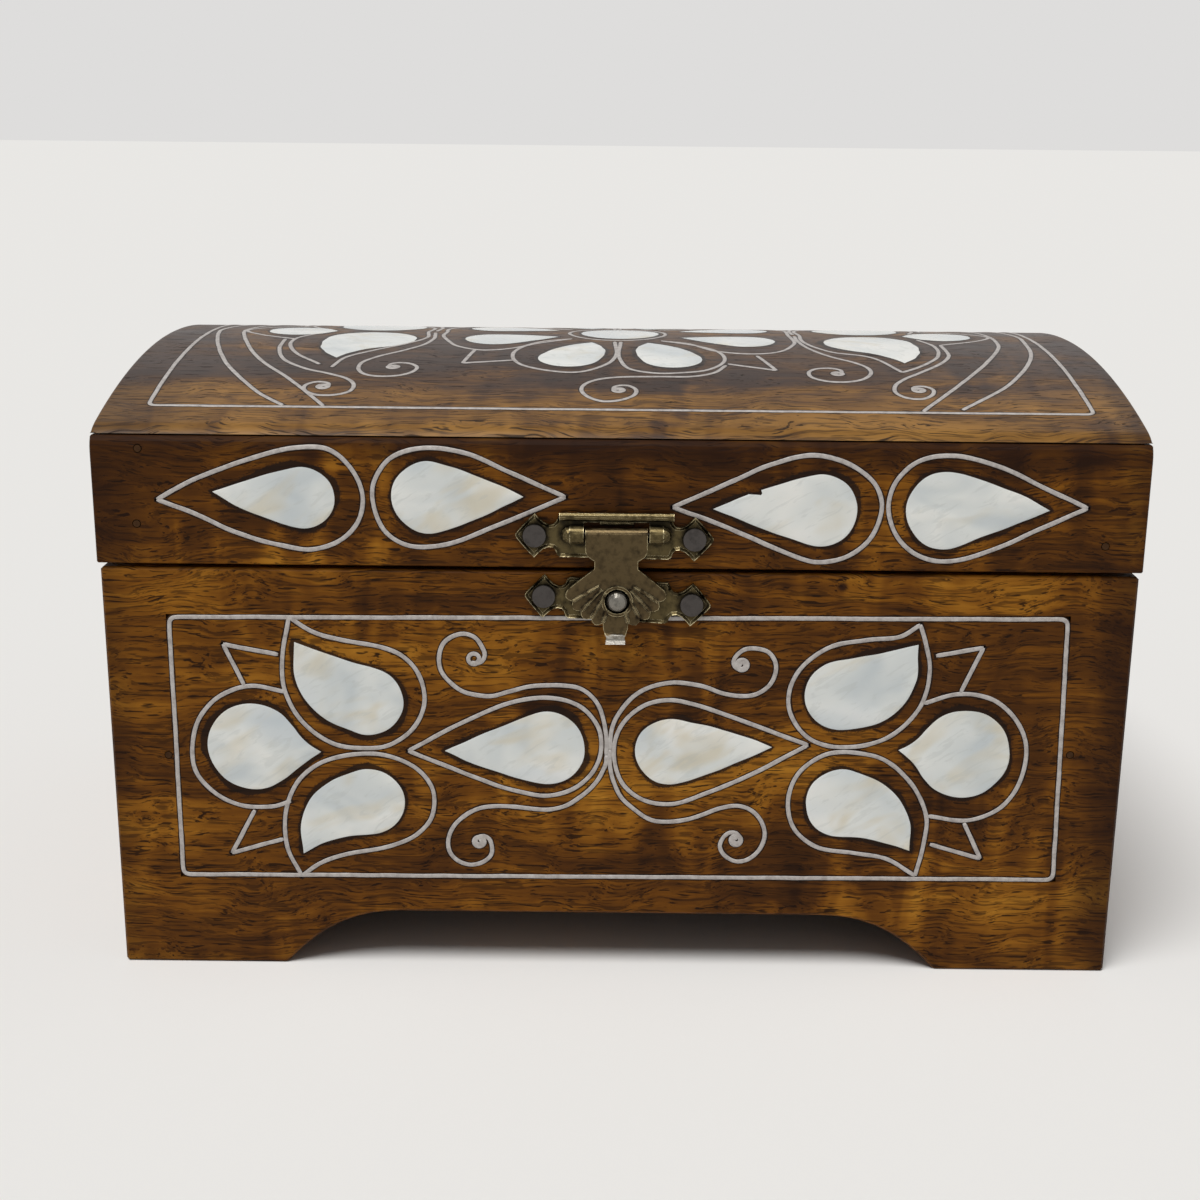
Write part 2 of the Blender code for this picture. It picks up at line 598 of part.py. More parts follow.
def plate_nails(mid, tilt, boss_x, face_y, body, name):
    """Flat dark nail heads on a plate's diamond ends, their shanks through plate and board."""
    head_y = face_y - PLATE_OFF - HEAD_T / 2
    shank_l = PLATE_NAIL_L + HEAD_T
    places = []
    for side, hand in ((-1, "left"), (1, "right")):
        x, z = mid[0] + side * boss_x * math.cos(tilt), mid[1] + side * boss_x * math.sin(tilt)
        head = rod(bmesh.new(), (x, head_y, z), HEAD_R, HEAD_T, "Y", ROUND_SEGS)
        shank = rod(bmesh.new(), (x, head_y + shank_l / 2, z), PLATE_NAIL_R, shank_l, "Y", SMALL_SEGS)
        carve(piece(f"{name}_nail_{hand}", head, NAIL, body), cutter(f"{name}_shank_{hand}", shank), "UNION")
        places.append((x, z))
    return places


def nail_holes(board, plate, places, face_y, name):
    holes = bmesh.new()
    length = PLATE_NAIL_L + 4 * PLATE_T
    for x, z in places:
        rod(holes, (x, face_y + PLATE_NAIL_L / 2, z), PLATE_NAIL_R + WIRE_FIT, length, "Y", SMALL_SEGS)
    tool = cutter(name, holes)
    carve(board, tool)
    carve(plate, tool)


def add_upper_plate(board):
    """Plate on the lid: rolled bar on top, window for the flap, and two cheeks that hold the pin."""
    back_y = LID_FRONT_Y - PLATE_OFF
    front_y = back_y - PLATE_T
    x0, mid_z = HASP_X, UPPER_MID[1]
    outline = plate_outline(UPPER_MID, UPPER_TILT, UPPER_HALF)
    plate = piece("hasp_upper_plate", stamped_plate(outline, back_y), BRASS, LID)
    window_half = FLAP_TOP_HALF + WINDOW_FIT
    lip_r = LIP_SHARE * BAR_R
    window_top = PIN_Z + ROLL_R + WINDOW_FIT + lip_r
    bar_place = (x0, front_y - PLATE_RIM, mid_z + PLATE_BODY)
    bar = rod(bmesh.new(), bar_place, BAR_R, 2 * BAR_HALF, "X", SMALL_SEGS)
    carve(plate, cutter("hasp_bar", bar), "UNION")
    for side in (-1, 1):
        x = x0 + side * (window_half + CHEEK_L / 2)
        cheek = rod(bmesh.new(), (x, PIN_Y, PIN_Z), KNUCKLE_R, CHEEK_L, "X", ROUND_SEGS)
        carve(plate, cutter(f"hasp_cheek_{side}", cheek), "UNION")
        x_end = x0 + side * (window_half + CHEEK_L)
        dome = ball(bmesh.new(), (x_end, PIN_Y, PIN_Z), CHEEK_END_SHARE * KNUCKLE_R)
        carve(plate, cutter(f"hasp_cheek_end_{side}", dome), "UNION")
    window = box(bmesh.new(), (x0 - window_half, front_y - 2 * KNUCKLE_R, PIN_Z - ROLL_R - WINDOW_FIT),
                 (x0 + window_half, back_y + PLATE_OFF, window_top))
    carve(plate, cutter("hasp_window", window))
    lip_place = (x0, front_y - PLATE_RIM / 2, window_top)
    lip = rod(bmesh.new(), lip_place, lip_r, window_half, "X", SMALL_SEGS)
    carve(plate, cutter("hasp_lip", lip), "UNION")
    bore_half = window_half + BORE_SHARE * CHEEK_L
    bore = rod(bmesh.new(), (x0, PIN_Y, PIN_Z), PIN_R + PIN_FIT, 2 * bore_half, "X", SMALL_SEGS)
    carve(plate, cutter("hasp_pin_bore", bore))
    pin_l = 2 * (bore_half - PLATE_OFF)
    piece("hasp_pin", rod(bmesh.new(), (x0, PIN_Y, PIN_Z), PIN_R, pin_l, "X", SMALL_SEGS), STEEL, LID)
    places = plate_nails(UPPER_MID, UPPER_TILT, UPPER_HALF, front_y, LID, "upper_plate")
    nail_holes(board, plate, places, front_y, "upper_nail_holes")


def add_lower_plate(board):
    """Plate on the carcass with its domed stud."""
    back_y = FRONT_Y - PLATE_OFF
    front_y = back_y - PLATE_T
    outline = plate_outline(LOWER_MID, LOWER_TILT, LOWER_HALF)
    plate = piece("hasp_lower_plate", stamped_plate(outline, back_y), BRASS, CARCASS)
    places = plate_nails(LOWER_MID, LOWER_TILT, LOWER_HALF, front_y, CARCASS, "lower_plate")
    nail_holes(board, plate, places, front_y, "lower_nail_holes")
    stud_x = HASP_X + STUD_SHIFT
    neck_l = SHELL_GAP + FLAP_T
    neck_y = front_y - neck_l / 2 - PLATE_OFF
    neck = rod(bmesh.new(), (stud_x, neck_y, STUD_Z), STUD_R, neck_l, "Y", ROUND_SEGS)
    stud = piece("hasp_stud", neck, STEEL, CARCASS)
    cap_place = (stud_x, neck_y - neck_l / 2, STUD_Z)
    cap = ball(bmesh.new(), cap_place, STUD_R, STUD_FLAT_SHARE, ROUND_SEGS)
    carve(stud, cutter("stud_cap", cap), "UNION")
    tail_l = PLATE_NAIL_L + PLATE_T
    tail_y = front_y - PLATE_OFF * 2 + tail_l / 2
    tail = rod(bmesh.new(), (stud_x, tail_y, STUD_Z), PLATE_NAIL_R, tail_l, "Y", SMALL_SEGS)
    carve(stud, cutter("stud_tail", tail), "UNION")
    nail_holes(board, plate, [(stud_x, STUD_Z)], front_y, "stud_hole")


def flap_outline(x0):
    """Half of the flap from its roll down to the tab, mirrored: neck, shell with lobes, tab."""
    shoulder = PIN_Z - SHOULDER_DROP
    half = [(FLAP_TOP_HALF, PIN_Z), (FLAP_TOP_HALF, shoulder)]
    turn = FLAP_TOP_HALF - FLAP_WAIST_HALF
    for k in range(1, SHOULDER_SEGS + 1):
        a = math.pi / 2 * k / SHOULDER_SEGS
        half.append((FLAP_TOP_HALF - turn * math.sin(a) ** 2, shoulder - turn * math.sin(a)))
    half.append((FLAP_WAIST_HALF, SHELL_Z + SHELL_RISE_SHARES[0] * SHELL_R))
    steps = LOBE_SEGS * SHELL_LOBES // 2
    for k in range(steps + 1):
        a = math.radians(SHELL_DEG) * (1 - k / steps)
        lobe = abs(math.sin(math.pi * k / LOBE_SEGS))
        r = SHELL_R * (1 - LOBE_SHARE * (1 - lobe))
        if r * math.sin(a) > TAB_ROOT_SHARES[0][0] * TAB_HALF:
            half.append((r * math.sin(a), SHELL_Z - r * math.cos(a)))
    shell_low = SHELL_Z - SHELL_R
    half += [(x * TAB_HALF, shell_low - z * TAB_HALF) for x, z in TAB_ROOT_SHARES]
    half.append((TAB_HALF, TAB_Z))
    return [(x0 + x, z) for x, z in half] + [(x0 - x, z) for x, z in reversed(half)]


def bend_flap(bm, jog):
    """Sets the shell back by the jog and curls the tab forward."""
    top, low = PIN_Z - JOG_DROP, SHELL_Z + SHELL_RISE_SHARES[1] * SHELL_R
    curl = {TAB_Z + up * TAB_HALF: out * TAB_HALF for up, out in CURL_SHARES}
    for z in [top, low, *list(curl)[:-1]]:
        geom = bm.verts[:] + bm.edges[:] + bm.faces[:]
        bmesh.ops.bisect_plane(bm, geom=geom, plane_co=(0, 0, z), plane_no=(0, 0, 1))
    for v in bm.verts:
        share = (top - v.co.z) / (top - low)
        v.co.y += jog * min(max(share, 0), 1)
        if v.co.z < max(curl):
            v.co.y -= curl[min(curl, key=lambda z: abs(z - v.co.z))]


def add_flap():
    """Flap on the pin: rolled eye, neck, a jog back to the lower plate, ridged shell, curled tab."""
    x0 = HASP_X
    front = PIN_Y - ROLL_R
    shell_back = FRONT_Y - PLATE_OFF - PLATE_T - SHELL_GAP
    bm = prism(bmesh.new(), flap_outline(x0), front, front + FLAP_T, "front")
    bend_flap(bm, shell_back - (front + FLAP_T))
    flap = piece("hasp_flap", bm, BRASS, FLAP)
    eye = rod(bmesh.new(), (x0, PIN_Y, PIN_Z), ROLL_R, 2 * FLAP_TOP_HALF, "X", ROUND_SEGS)
    carve(flap, cutter("flap_eye", eye), "UNION")
    stud_x = HASP_X + STUD_SHIFT
    rim_r, rim_t = HOLE_RIM_SHARES[0] * HOLE_R, HOLE_RIM_SHARES[1] * FLAP_T
    rim = rod(bmesh.new(), (stud_x, shell_back - FLAP_T / 2, STUD_Z), rim_r, rim_t, "Y", ROUND_SEGS)
    carve(flap, cutter("flap_hole_rim", rim), "UNION")
    ridges = bmesh.new()
    for k in range(1, SHELL_LOBES):
        if k != SHELL_LOBES // 2:
            add_ridge(ridges, x0, math.radians(SHELL_DEG) * (2 * k / SHELL_LOBES - 1), shell_back - FLAP_T)
    carve(flap, cutter("flap_ridges", ridges), "UNION")
    hole = rod(bmesh.new(), (stud_x, shell_back, STUD_Z), HOLE_R, 6 * FLAP_T, "Y", ROUND_SEGS)
    carve(flap, cutter("flap_hole", hole))
    bore = rod(bmesh.new(), (x0, PIN_Y, PIN_Z), PIN_R + PIN_FIT, 3 * FLAP_TOP_HALF, "X", SMALL_SEGS)
    carve(flap, cutter("flap_bore", bore))


def add_ridge(bm, x0, angle, face_y):
    """One raised ridge of the shell, from near its centre out to a notch, its front edges rounded."""
    out = Vector((math.sin(angle), -math.cos(angle)))
    side = Vector((out.y, -out.x))
    spine = [(Vector((x0, SHELL_Z)) + out * SHELL_R * r, side * SHELL_R * w) for r, w in RIDGE_SHARES]
    outline = [mid + half for mid, half in spine] + [mid - half for mid, half in reversed(spine)]
    before = set(bm.faces)
    prism(bm, outline, face_y - RIDGE_H, face_y + RIDGE_H, "front")
    crest = min((f for f in bm.faces if f not in before), key=lambda f: f.calc_center_median().y)
    soft = RIDGE_SOFT_SHARE * RIDGE_H
    bmesh.ops.bevel(bm, geom=list(crest.edges), offset=soft, segments=1, affect="EDGES")


# Hinges
def hinge_leaf(name, x, up, knuckles, body):
    """A butt leaf let into the rim: flat leaf, knuckles round the pin, bore through."""
    sign = 1 if up else -1
    low, high = sorted((SEAM_Z + sign * WIRE_FIT / 2, SEAM_Z + sign * (WIRE_FIT / 2 + LEAF_T)))
    relief = HINGE_R + WIRE_FIT * 3
    leaf = piece(name, box(bmesh.new(), (x - HINGE_L / 2, HINGE_Y - LEAF_D, low),
                           (x + HINGE_L / 2, HINGE_Y - relief, high)), BRASS, body)
    for k, (a, b) in enumerate(knuckles):
        tongue = box(bmesh.new(), (x + a, HINGE_Y - LEAF_D / 2, low), (x + b, HINGE_Y, high))
        carve(leaf, cutter(f"{name}_tongue_{k}", tongue), "UNION")
        tube = rod(bmesh.new(), (x + (a + b) / 2, HINGE_Y, SEAM_Z), HINGE_R, b - a, "X", KNUCKLE_SEGS)
        carve(leaf, cutter(f"{name}_knuckle_{k}", tube), "UNION")
    bore = rod(bmesh.new(), (x, HINGE_Y, SEAM_Z), HINGE_PIN_R + PIN_FIT, HINGE_L * 1.2, "X", SMALL_SEGS)
    carve(leaf, cutter(f"{name}_bore", bore))


def add_hinges(back, lid_back):
    third = HINGE_L / 3
    gap = WIRE_FIT
    seat = WIRE_FIT / 2 + LEAF_T + GAP
    deep = HINGE_R + GAP
    half = HINGE_L / 2 + GAP
    for side, hand in ((-1, "left"), (1, "right")):
        x = side * HINGE_X
        outer = ((-HINGE_L / 2, -third / 2 - gap), (third / 2 + gap, HINGE_L / 2))
        hinge_leaf(f"hinge_lower_leaf_{hand}", x, False, outer, CARCASS)
        hinge_leaf(f"hinge_upper_leaf_{hand}", x, True, ((-third / 2 + gap, third / 2 - gap),), LID)
        piece(f"hinge_pin_{hand}", rod(bmesh.new(), (x, HINGE_Y, SEAM_Z), HINGE_PIN_R, HINGE_L, "X",
                                       SMALL_SEGS), BRASS, CARCASS)
        for board, sign, label in ((back, -1, "rim"), (lid_back, 1, "lid")):
            for name, depth, reach in (("mortise", LEAF_D + GAP, seat), ("knuckle_seat", deep, deep)):
                low, high = sorted((SEAM_Z, SEAM_Z + sign * reach))
                space = box(bmesh.new(), (x - half, HINGE_Y - depth, low), (x + half, BACK_Y + GAP, high))
                carve(board, cutter(f"{label}_{name}_{hand}", space))


carcass = add_carcass()
lid = add_lid()
add_flat_inlay(carcass["front_board"], FRONT_Y, front_outlines(), CARCASS, "front_pockets")
add_flat_inlay(lid["lid_front_board"], LID_FRONT_Y, lid_front_outlines(), LID, "lid_front_pockets")
add_top_inlay(lid["lid_top_board"])
add_borders(carcass["front_board"], lid["lid_top_board"])
add_board_nails([carcass[name] for name in ("front_board", "left_end_board", "right_end_board")], FRONT_Y,
                (BODY_W / 2, 0, BODY_H), BODY_NAIL_SHARES, CARCASS, "front_nail")
add_board_nails([lid[name] for name in ("lid_front_board", "lid_left_end_board", "lid_right_end_board")],
                LID_FRONT_Y, (LID_W / 2, LID_Z, LID_SIDE_H), LID_NAIL_SHARES, LID, "lid_nail")
add_upper_plate(lid["lid_front_board"])
add_lower_plate(carcass["front_board"])
add_flap()
add_hinges(carcass["back_board"], lid["lid_back_board"])
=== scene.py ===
"""Looks of the trinket box: walnut, mother-of-pearl, inlaid wire and a worn brass hasp.

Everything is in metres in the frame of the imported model. Drawings of the inlay are in millimetres:
x and height on the two front faces, x and distance from the front edge on the domed lid.
"""
import math

import bmesh
import bpy
from mathutils import Matrix, Vector, noise


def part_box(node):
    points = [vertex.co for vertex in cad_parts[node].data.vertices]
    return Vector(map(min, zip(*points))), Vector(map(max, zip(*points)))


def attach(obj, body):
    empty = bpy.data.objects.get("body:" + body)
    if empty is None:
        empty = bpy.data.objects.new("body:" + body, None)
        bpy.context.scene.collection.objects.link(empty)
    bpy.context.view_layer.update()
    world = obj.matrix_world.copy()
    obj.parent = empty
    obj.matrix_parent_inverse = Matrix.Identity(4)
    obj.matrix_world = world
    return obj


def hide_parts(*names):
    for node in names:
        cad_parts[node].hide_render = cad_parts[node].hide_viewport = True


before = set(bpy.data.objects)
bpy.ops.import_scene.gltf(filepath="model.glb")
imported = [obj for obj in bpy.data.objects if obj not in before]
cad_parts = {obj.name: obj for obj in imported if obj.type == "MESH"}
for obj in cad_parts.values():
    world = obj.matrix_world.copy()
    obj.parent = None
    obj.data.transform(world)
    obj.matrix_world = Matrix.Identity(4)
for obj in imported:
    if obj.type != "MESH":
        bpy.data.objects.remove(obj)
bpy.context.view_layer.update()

MM = 0.001

# Faces that carry the inlay
FRONT_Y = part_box("front_board")[0].y
LID_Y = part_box("lid_front_board")[0].y
DOME_LOW, DOME_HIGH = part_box("lid_top_board")
DOME_RISE = 0.00925      # springing line to crest
DOME_HALF = (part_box("lid_back_board")[1].y - LID_Y) / 2
DOME_MID_Y = LID_Y + DOME_HALF
DOME_R = (DOME_RISE ** 2 + DOME_HALF ** 2) / (2 * DOME_RISE)
DOME_C = DOME_HIGH.z - DOME_R
DOME_MID_MM = DOME_HALF / MM
ROLL_R = 0.0045          # rounding where the dome rolls over into the lid's front and back
ROLL_Z = DOME_C + math.sqrt((DOME_R - ROLL_R) ** 2 - (DOME_HALF - ROLL_R) ** 2)

# Inlaid wire
WIRE_W = 0.00066
WIRE_H = 0.00006         # crown of the wire above the wood
WIRE_DEEP = 0.00018
GROOVE_W = 0.00030       # dark line of the cut beside a wire, at its widest
CUT_ON = 0.00035         # the cut runs on past the end of a wire
WIRE_STEP = 0.00045      # spacing of the rings along a wire
WIRE_EASE = 6            # rings at each end of a wire over which its unevenness dies out
WAVER = 0.00007          # sideways waver of the hand-laid wire
CORNER_R = 0.0012        # bend of a border at its corners
EYE_R = 0.86             # first turn of a scroll's eye, in mm
EYE_TURN = math.radians(36)
# Section of the wire: share of its width, then share of its crown, or of its depth where negative
WIRE_SECTION = ((-0.5, -1.0), (-0.5, 0.35), (-0.34, 0.9), (0.0, 1.0),
                (0.34, 0.9), (0.5, 0.35), (0.5, -1.0))
# Darkness and height above the wood of the four rows of a cut
CUT_ROWS = ((0.62, 8e-6), (1.0, 1.6e-5), (1.0, 1.6e-5), (0.62, 8e-6))

# Petals
PETAL_STEP = 0.0005
PETAL_WAVER = 0.00018    # unevenness of the sawn outline
SHELL_DEEP = -0.0004     # buried lower face
SHELL_TOP = 0.0001       # crown
# Distance in from the outline and height, from the buried face up over the softened edge
SHELL_EDGE = ((0.0, SHELL_DEEP), (0.0, 0.00001), (0.00012, 0.00005), (0.0005, 0.00008))
# Place on the face, half width and depth of a chip in an edge
CHIPS = {"pearl_lid_drop_3": (0.0205, 0.0789, 0.0010, 0.0017)}

# Dark cement and stain round a petal
CEMENT_IN = 0.00008      # cement that laps over the petal's edge
CEMENT_OUT = 0.00014
CEMENT_FADE = 0.00022    # from the dark cement to the soaked wood
CEMENT_MORE = 0.00090    # where the pocket was cut too wide
STAIN_OUT = 0.0009

DOME_EASE = 0.0006       # rounding of the dome's edges at its two ends
SHARP_ANGLE = math.radians(32)   # edges sharper than this stay crisp under smooth shading


# Surfaces: a place on the face and a height above it
def on_front(u, v, h=0.0):
    return Vector((u, FRONT_Y - h, v))


def on_lid(u, v, h=0.0):
    """Upright, then rolled over towards the dome."""
    up = min(max((v - ROLL_Z) / ROLL_R, 0.0), 1.0)
    out = Vector((0.0, -math.sqrt(1 - up ** 2), up))
    return Vector((u, LID_Y + ROLL_R * (1 + out.y), v)) + out * h


def on_dome(u, v, h=0.0):
    """u along the box, v the world depth."""
    away = v - DOME_MID_Y
    up = math.sqrt(max(DOME_R ** 2 - away ** 2, 0.0))
    out = Vector((0.0, away, up)).normalized()
    return Vector((u, v, DOME_C + up)) + out * h


# Lines in the plane of a face
def waver(seed, along, size):
    """Smooth wandering of a hand-cut line, between minus and plus one."""
    return noise.noise(Vector((along / size, seed * 7.31, seed * 3.17)))


def curve_through(points, step, closed=False):
    """A smooth line through the points, resampled at about the step."""
    pts = [Vector(p) for p in points]
    n = len(pts)
    spans = n if closed else n - 1
    out = []
    for k in range(spans):
        p1, p2 = pts[k], pts[(k + 1) % n]
        p0 = pts[k - 1] if closed or k > 0 else p1 + (p1 - p2)
        p3 = pts[(k + 2) % n] if closed or k + 2 < n else p2 + (p2 - p1)
        count = max(2, round((p2 - p1).length / step))
        t1 = max((p1 - p0).length, 1e-9) ** 0.5
        t2 = max((p2 - p1).length, 1e-9) ** 0.5
        t3 = max((p3 - p2).length, 1e-9) ** 0.5
        m1 = (p1 - p0) / t1 - (p2 - p0) / (t1 + t2) + (p2 - p1) / t2
        m2 = (p2 - p1) / t2 - (p3 - p1) / (t2 + t3) + (p3 - p2) / t3
        m1, m2 = m1 * t2, m2 * t2
        for i in range(count):
            s = i / count
            a = 2 * s ** 3 - 3 * s ** 2 + 1
            b = s ** 3 - 2 * s ** 2 + s
            c = -2 * s ** 3 + 3 * s ** 2
            d = s ** 3 - s ** 2
            out.append(p1 * a + m1 * b + p2 * c + m2 * d)
    if not closed:
        out.append(pts[-1])
    return out


def side_normals(line, closed=False):
    """Unit normals to the left of a line, one for each point."""
    n = len(line)
    out = []
    for k in range(n):
        a = line[k - 1] if closed or k > 0 else line[0]
        b = line[(k + 1) % n] if closed or k + 1 < n else line[-1]
        d = (b - a).normalized()
        out.append(Vector((-d.y, d.x)))
    return out


# Meshes
def new_piece(name, bm, mat, body):
    """Turns bm into an object of the scene that rides on a body."""
    bmesh.ops.recalc_face_normals(bm, faces=bm.faces)
    mesh = bpy.data.meshes.new(name)
    bm.to_mesh(mesh)
    bm.free()
    mesh.materials.append(mat)
    mesh.shade_smooth()
    ob = bpy.data.objects.new(name, mesh)
    bpy.context.scene.collection.objects.link(ob)
    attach(ob, body)
    return ob


def loft(bm, rings, closed=False):
    """Skins a row of equal rings of points; the ends are capped unless the row is closed."""
    rows = [[bm.verts.new(p) for p in ring] for ring in rings]
    n = len(rows[0])
    pairs = list(zip(rows, rows[1:]))
    if closed:
        pairs.append((rows[-1], rows[0]))
    for a, b in pairs:
        for k in range(n):
            j = (k + 1) % n
            bm.faces.new((a[k], a[j], b[j], b[k]))
    if not closed:
        bm.faces.new(list(reversed(rows[0])))
        bm.faces.new(rows[-1])


def lay_wire(bm, surface, points, seed, closed=False):
    """A flat wire let into a face along a given line."""
    line = curve_through(points, WIRE_STEP, closed)
    sides = side_normals(line, closed)
    run = 0.0
    rings = []
    for k, (p, side) in enumerate(zip(line, sides)):
        if k:
            run += (p - line[k - 1]).length
        ease = min(1.0, k / WIRE_EASE, (len(line) - 1 - k) / WIRE_EASE)
        mid = p + side * (WAVER * ease * waver(seed, run, 0.0035))
        swell = 0.08 * waver(seed + 40, run, 0.0022) + 0.07 * waver(seed + 50, run, 0.0008)
        wide = WIRE_W * (1 + ease * swell)
        if not closed and k in (0, len(line) - 1):
            wide *= 0.7
        ring = []
        for share, lift in WIRE_SECTION:
            q = mid + side * (wide * share)
            h = WIRE_H * lift if lift > 0 else -WIRE_DEEP
            ring.append(surface(q.x, q.y, h))
        rings.append(ring)
    loft(bm, rings, closed)


def lay_stain(bm, stain, surface, rows, closed=False):
    """A thin skin just above the wood. Each row is (line, darkness, height)."""
    made = []
    for line, dark, high in rows:
        row = [bm.verts.new(surface(p.x, p.y, high)) for p in line]
        for v in row:
            v[stain] = dark
        made.append(row)
    n = len(made[0])
    for a, b in zip(made, made[1:]):
        for k in range(n if closed else n - 1):
            j = (k + 1) % n
            bm.faces.new((a[k], a[j], b[j], b[k]))


def lay_groove(bm, stain, surface, points, seed, closed=False):
    """The dark cut on both sides of a wire and a little past its ends."""
    line = curve_through(points, WIRE_STEP * 1.5, closed)
    if not closed:
        line.insert(0, line[0] - (line[1] - line[0]).normalized() * CUT_ON)
        line.append(line[-1] + (line[-1] - line[-2]).normalized() * CUT_ON)
    sides = side_normals(line, closed)
    run = 0.0
    rows = [[], [], [], []]
    for k, (p, side) in enumerate(zip(line, sides)):
        if k:
            run += (p - line[k - 1]).length
        left = WIRE_W / 2 + GROOVE_W * (0.6 + 0.5 * waver(seed + 11, run, 0.002))
        right = WIRE_W / 2 + GROOVE_W * (0.6 + 0.5 * waver(seed + 23, run, 0.002))
        for row, off in zip(rows, (left, WIRE_W * 0.42, -WIRE_W * 0.42, -right)):
            row.append(p + side * off)
    lay_stain(bm, stain, surface, [(row, *look) for row, look in zip(rows, CUT_ROWS)], closed)


# Petals, from the outlines of the CAD nodes
def face_loop(node, out):
    """The outline of a petal's show face, in order, as Vectors (x, z) or (x, y)."""
    bm = bmesh.new()
    bm.from_mesh(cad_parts[node].data)
    bmesh.ops.remove_doubles(bm, verts=bm.verts, dist=1e-6)
    bm.normal_update()
    tops = {f for f in bm.faces if f.normal.dot(out) > 0.7}
    rim = [e for e in bm.edges if len([f for f in e.link_faces if f in tops]) == 1]
    links = {}
    for e in rim:
        a, b = e.verts
        links.setdefault(a, []).append(b)
        links.setdefault(b, []).append(a)
    start = rim[0].verts[0]
    loop, last, here = [start], None, start
    while True:
        step = [v for v in links[here] if v is not last]
        last, here = here, step[0]
        if here is start:
            break
        loop.append(here)
    flat = 1 if abs(out.y) > 0.5 else 2
    points = [Vector([c for i, c in enumerate(v.co) if i != flat]) for v in loop]
    bm.free()
    return points


def sharp_tip(points):
    """Index of the sharpest corner of a loop, or None where it is round."""
    n = len(points)
    turns = []
    for k in range(n):
        a = (points[k] - points[k - 1]).normalized()
        b = (points[(k + 1) % n] - points[k]).normalized()
        turns.append(math.degrees(math.acos(max(-1.0, min(1.0, a.dot(b))))))
    worst = max(range(n), key=lambda k: turns[k])
    return worst if turns[worst] > 55 else None


def smooth_outline(points, step):
    """A fine, smooth loop through a coarse one, with its tip kept sharp."""
    area = sum(a.x * b.y - b.x * a.y for a, b in zip(points, points[1:] + points[:1]))
    if area < 0:
        points = list(reversed(points))
    tip = sharp_tip(points)
    if tip is None:
        return curve_through(points, step, closed=True)
    ring = points[tip:] + points[:tip] + [points[tip]]
    return curve_through(ring, step)[:-1]


def offset_loop(line, by):
    """The loop moved outward; by is a length or a function of the distance along the loop."""
    sides = side_normals(line, closed=True)
    out = []
    run = 0.0
    for k, (p, side) in enumerate(zip(line, sides)):
        if k:
            run += (p - line[k - 1]).length
        far = by(run) if callable(by) else by
        out.append(p - side * far)
    return out


def hand_cut(node, out, seed):
    """The show outline of a petal with the waver of the saw, and with its chip if it has one."""
    loop = smooth_outline(face_loop(node, out), PETAL_STEP)
    total = sum((b - a).length for a, b in zip(loop, loop[1:]))

    def uneven(run):
        ease = min(1.0, run / 0.003, max(total - run, 0.0) / 0.003)
        return PETAL_WAVER * waver(seed + 1, run, 0.004) * ease

    edge = offset_loop(loop, uneven)
    if node in CHIPS:
        x, z, half, deep = CHIPS[node]
        middle = sum(edge, Vector((0, 0))) / len(edge)
        for k, p in enumerate(edge):
            near = 1 - (p - Vector((x, z))).length / half
            if near > 0:
                edge[k] = p + (middle - p).normalized() * deep * near
    return edge


def add_shell(node, edge, surface, body, mat):
    """A petal with softened edges and a low crown, in place of its node."""
    bm = bmesh.new()
    centre = sum(edge, Vector((0, 0))) / len(edge)
    n = len(edge)

    def ring_at(points, high):
        return [bm.verts.new(surface(p.x, p.y, high)) for p in points]

    rings = []
    for inward, high in SHELL_EDGE:
        points = [p.lerp(centre, min(inward / max((p - centre).length, 1e-6), 0.9)) for p in edge]
        rings.append(ring_at(points, high))
    for a, b in zip(rings, rings[1:]):
        for k in range(n):
            j = (k + 1) % n
            bm.faces.new((a[k], a[j], b[j], b[k]))
    inner = rings[-1]
    for share in (0.66, 0.33):
        ring = ring_at([centre.lerp(p, share) for p in edge], SHELL_TOP)
        for k in range(n):
            j = (k + 1) % n
            bm.faces.new((inner[k], inner[j], ring[j], ring[k]))
        inner = ring
    hub = bm.verts.new(surface(centre.x, centre.y, SHELL_TOP))
    base = bm.verts.new(surface(centre.x, centre.y, SHELL_DEEP))
    for k in range(n):
        j = (k + 1) % n
        bm.faces.new((inner[k], inner[j], hub))
        bm.faces.new((rings[0][j], rings[0][k], base))
    piece = new_piece(node.replace("pearl_", "shell_"), bm, mat, body)
    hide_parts(node)


def lay_cement(bm, stain, edge, surface, seed):
    """The dark cement round a petal, wide where its pocket was cut wide, and the soaked wood round it."""
    def wide(reach):
        def by(run):
            more = max(0.0, waver(seed + 2, run, 0.006) + 0.15) + 0.25 * waver(seed + 3, run, 0.0011)
            return reach + CEMENT_MORE * max(more, -0.25)
        return by

    rows = ((-CEMENT_IN, 1.0, 0.00004),
            (0.00002, 1.0, 0.00003),
            (wide(CEMENT_OUT), 0.95, 0.00002),
            (wide(CEMENT_OUT + CEMENT_FADE), 0.42, 0.000012),
            (wide(STAIN_OUT), 0.0, 0.000006))
    lines = [(offset_loop(edge, by), dark, high) for by, dark, high in rows]
    lay_stain(bm, stain, surface, lines, closed=True)


# Materials
def srgb(*rgb):
    """Linear colour from a picture's 0 to 255 values."""
    def lin(c):
        c /= 255
        return c / 12.92 if c <= 0.04045 else ((c + 0.055) / 1.055) ** 2.4
    return (*[lin(c) for c in rgb], 1.0)


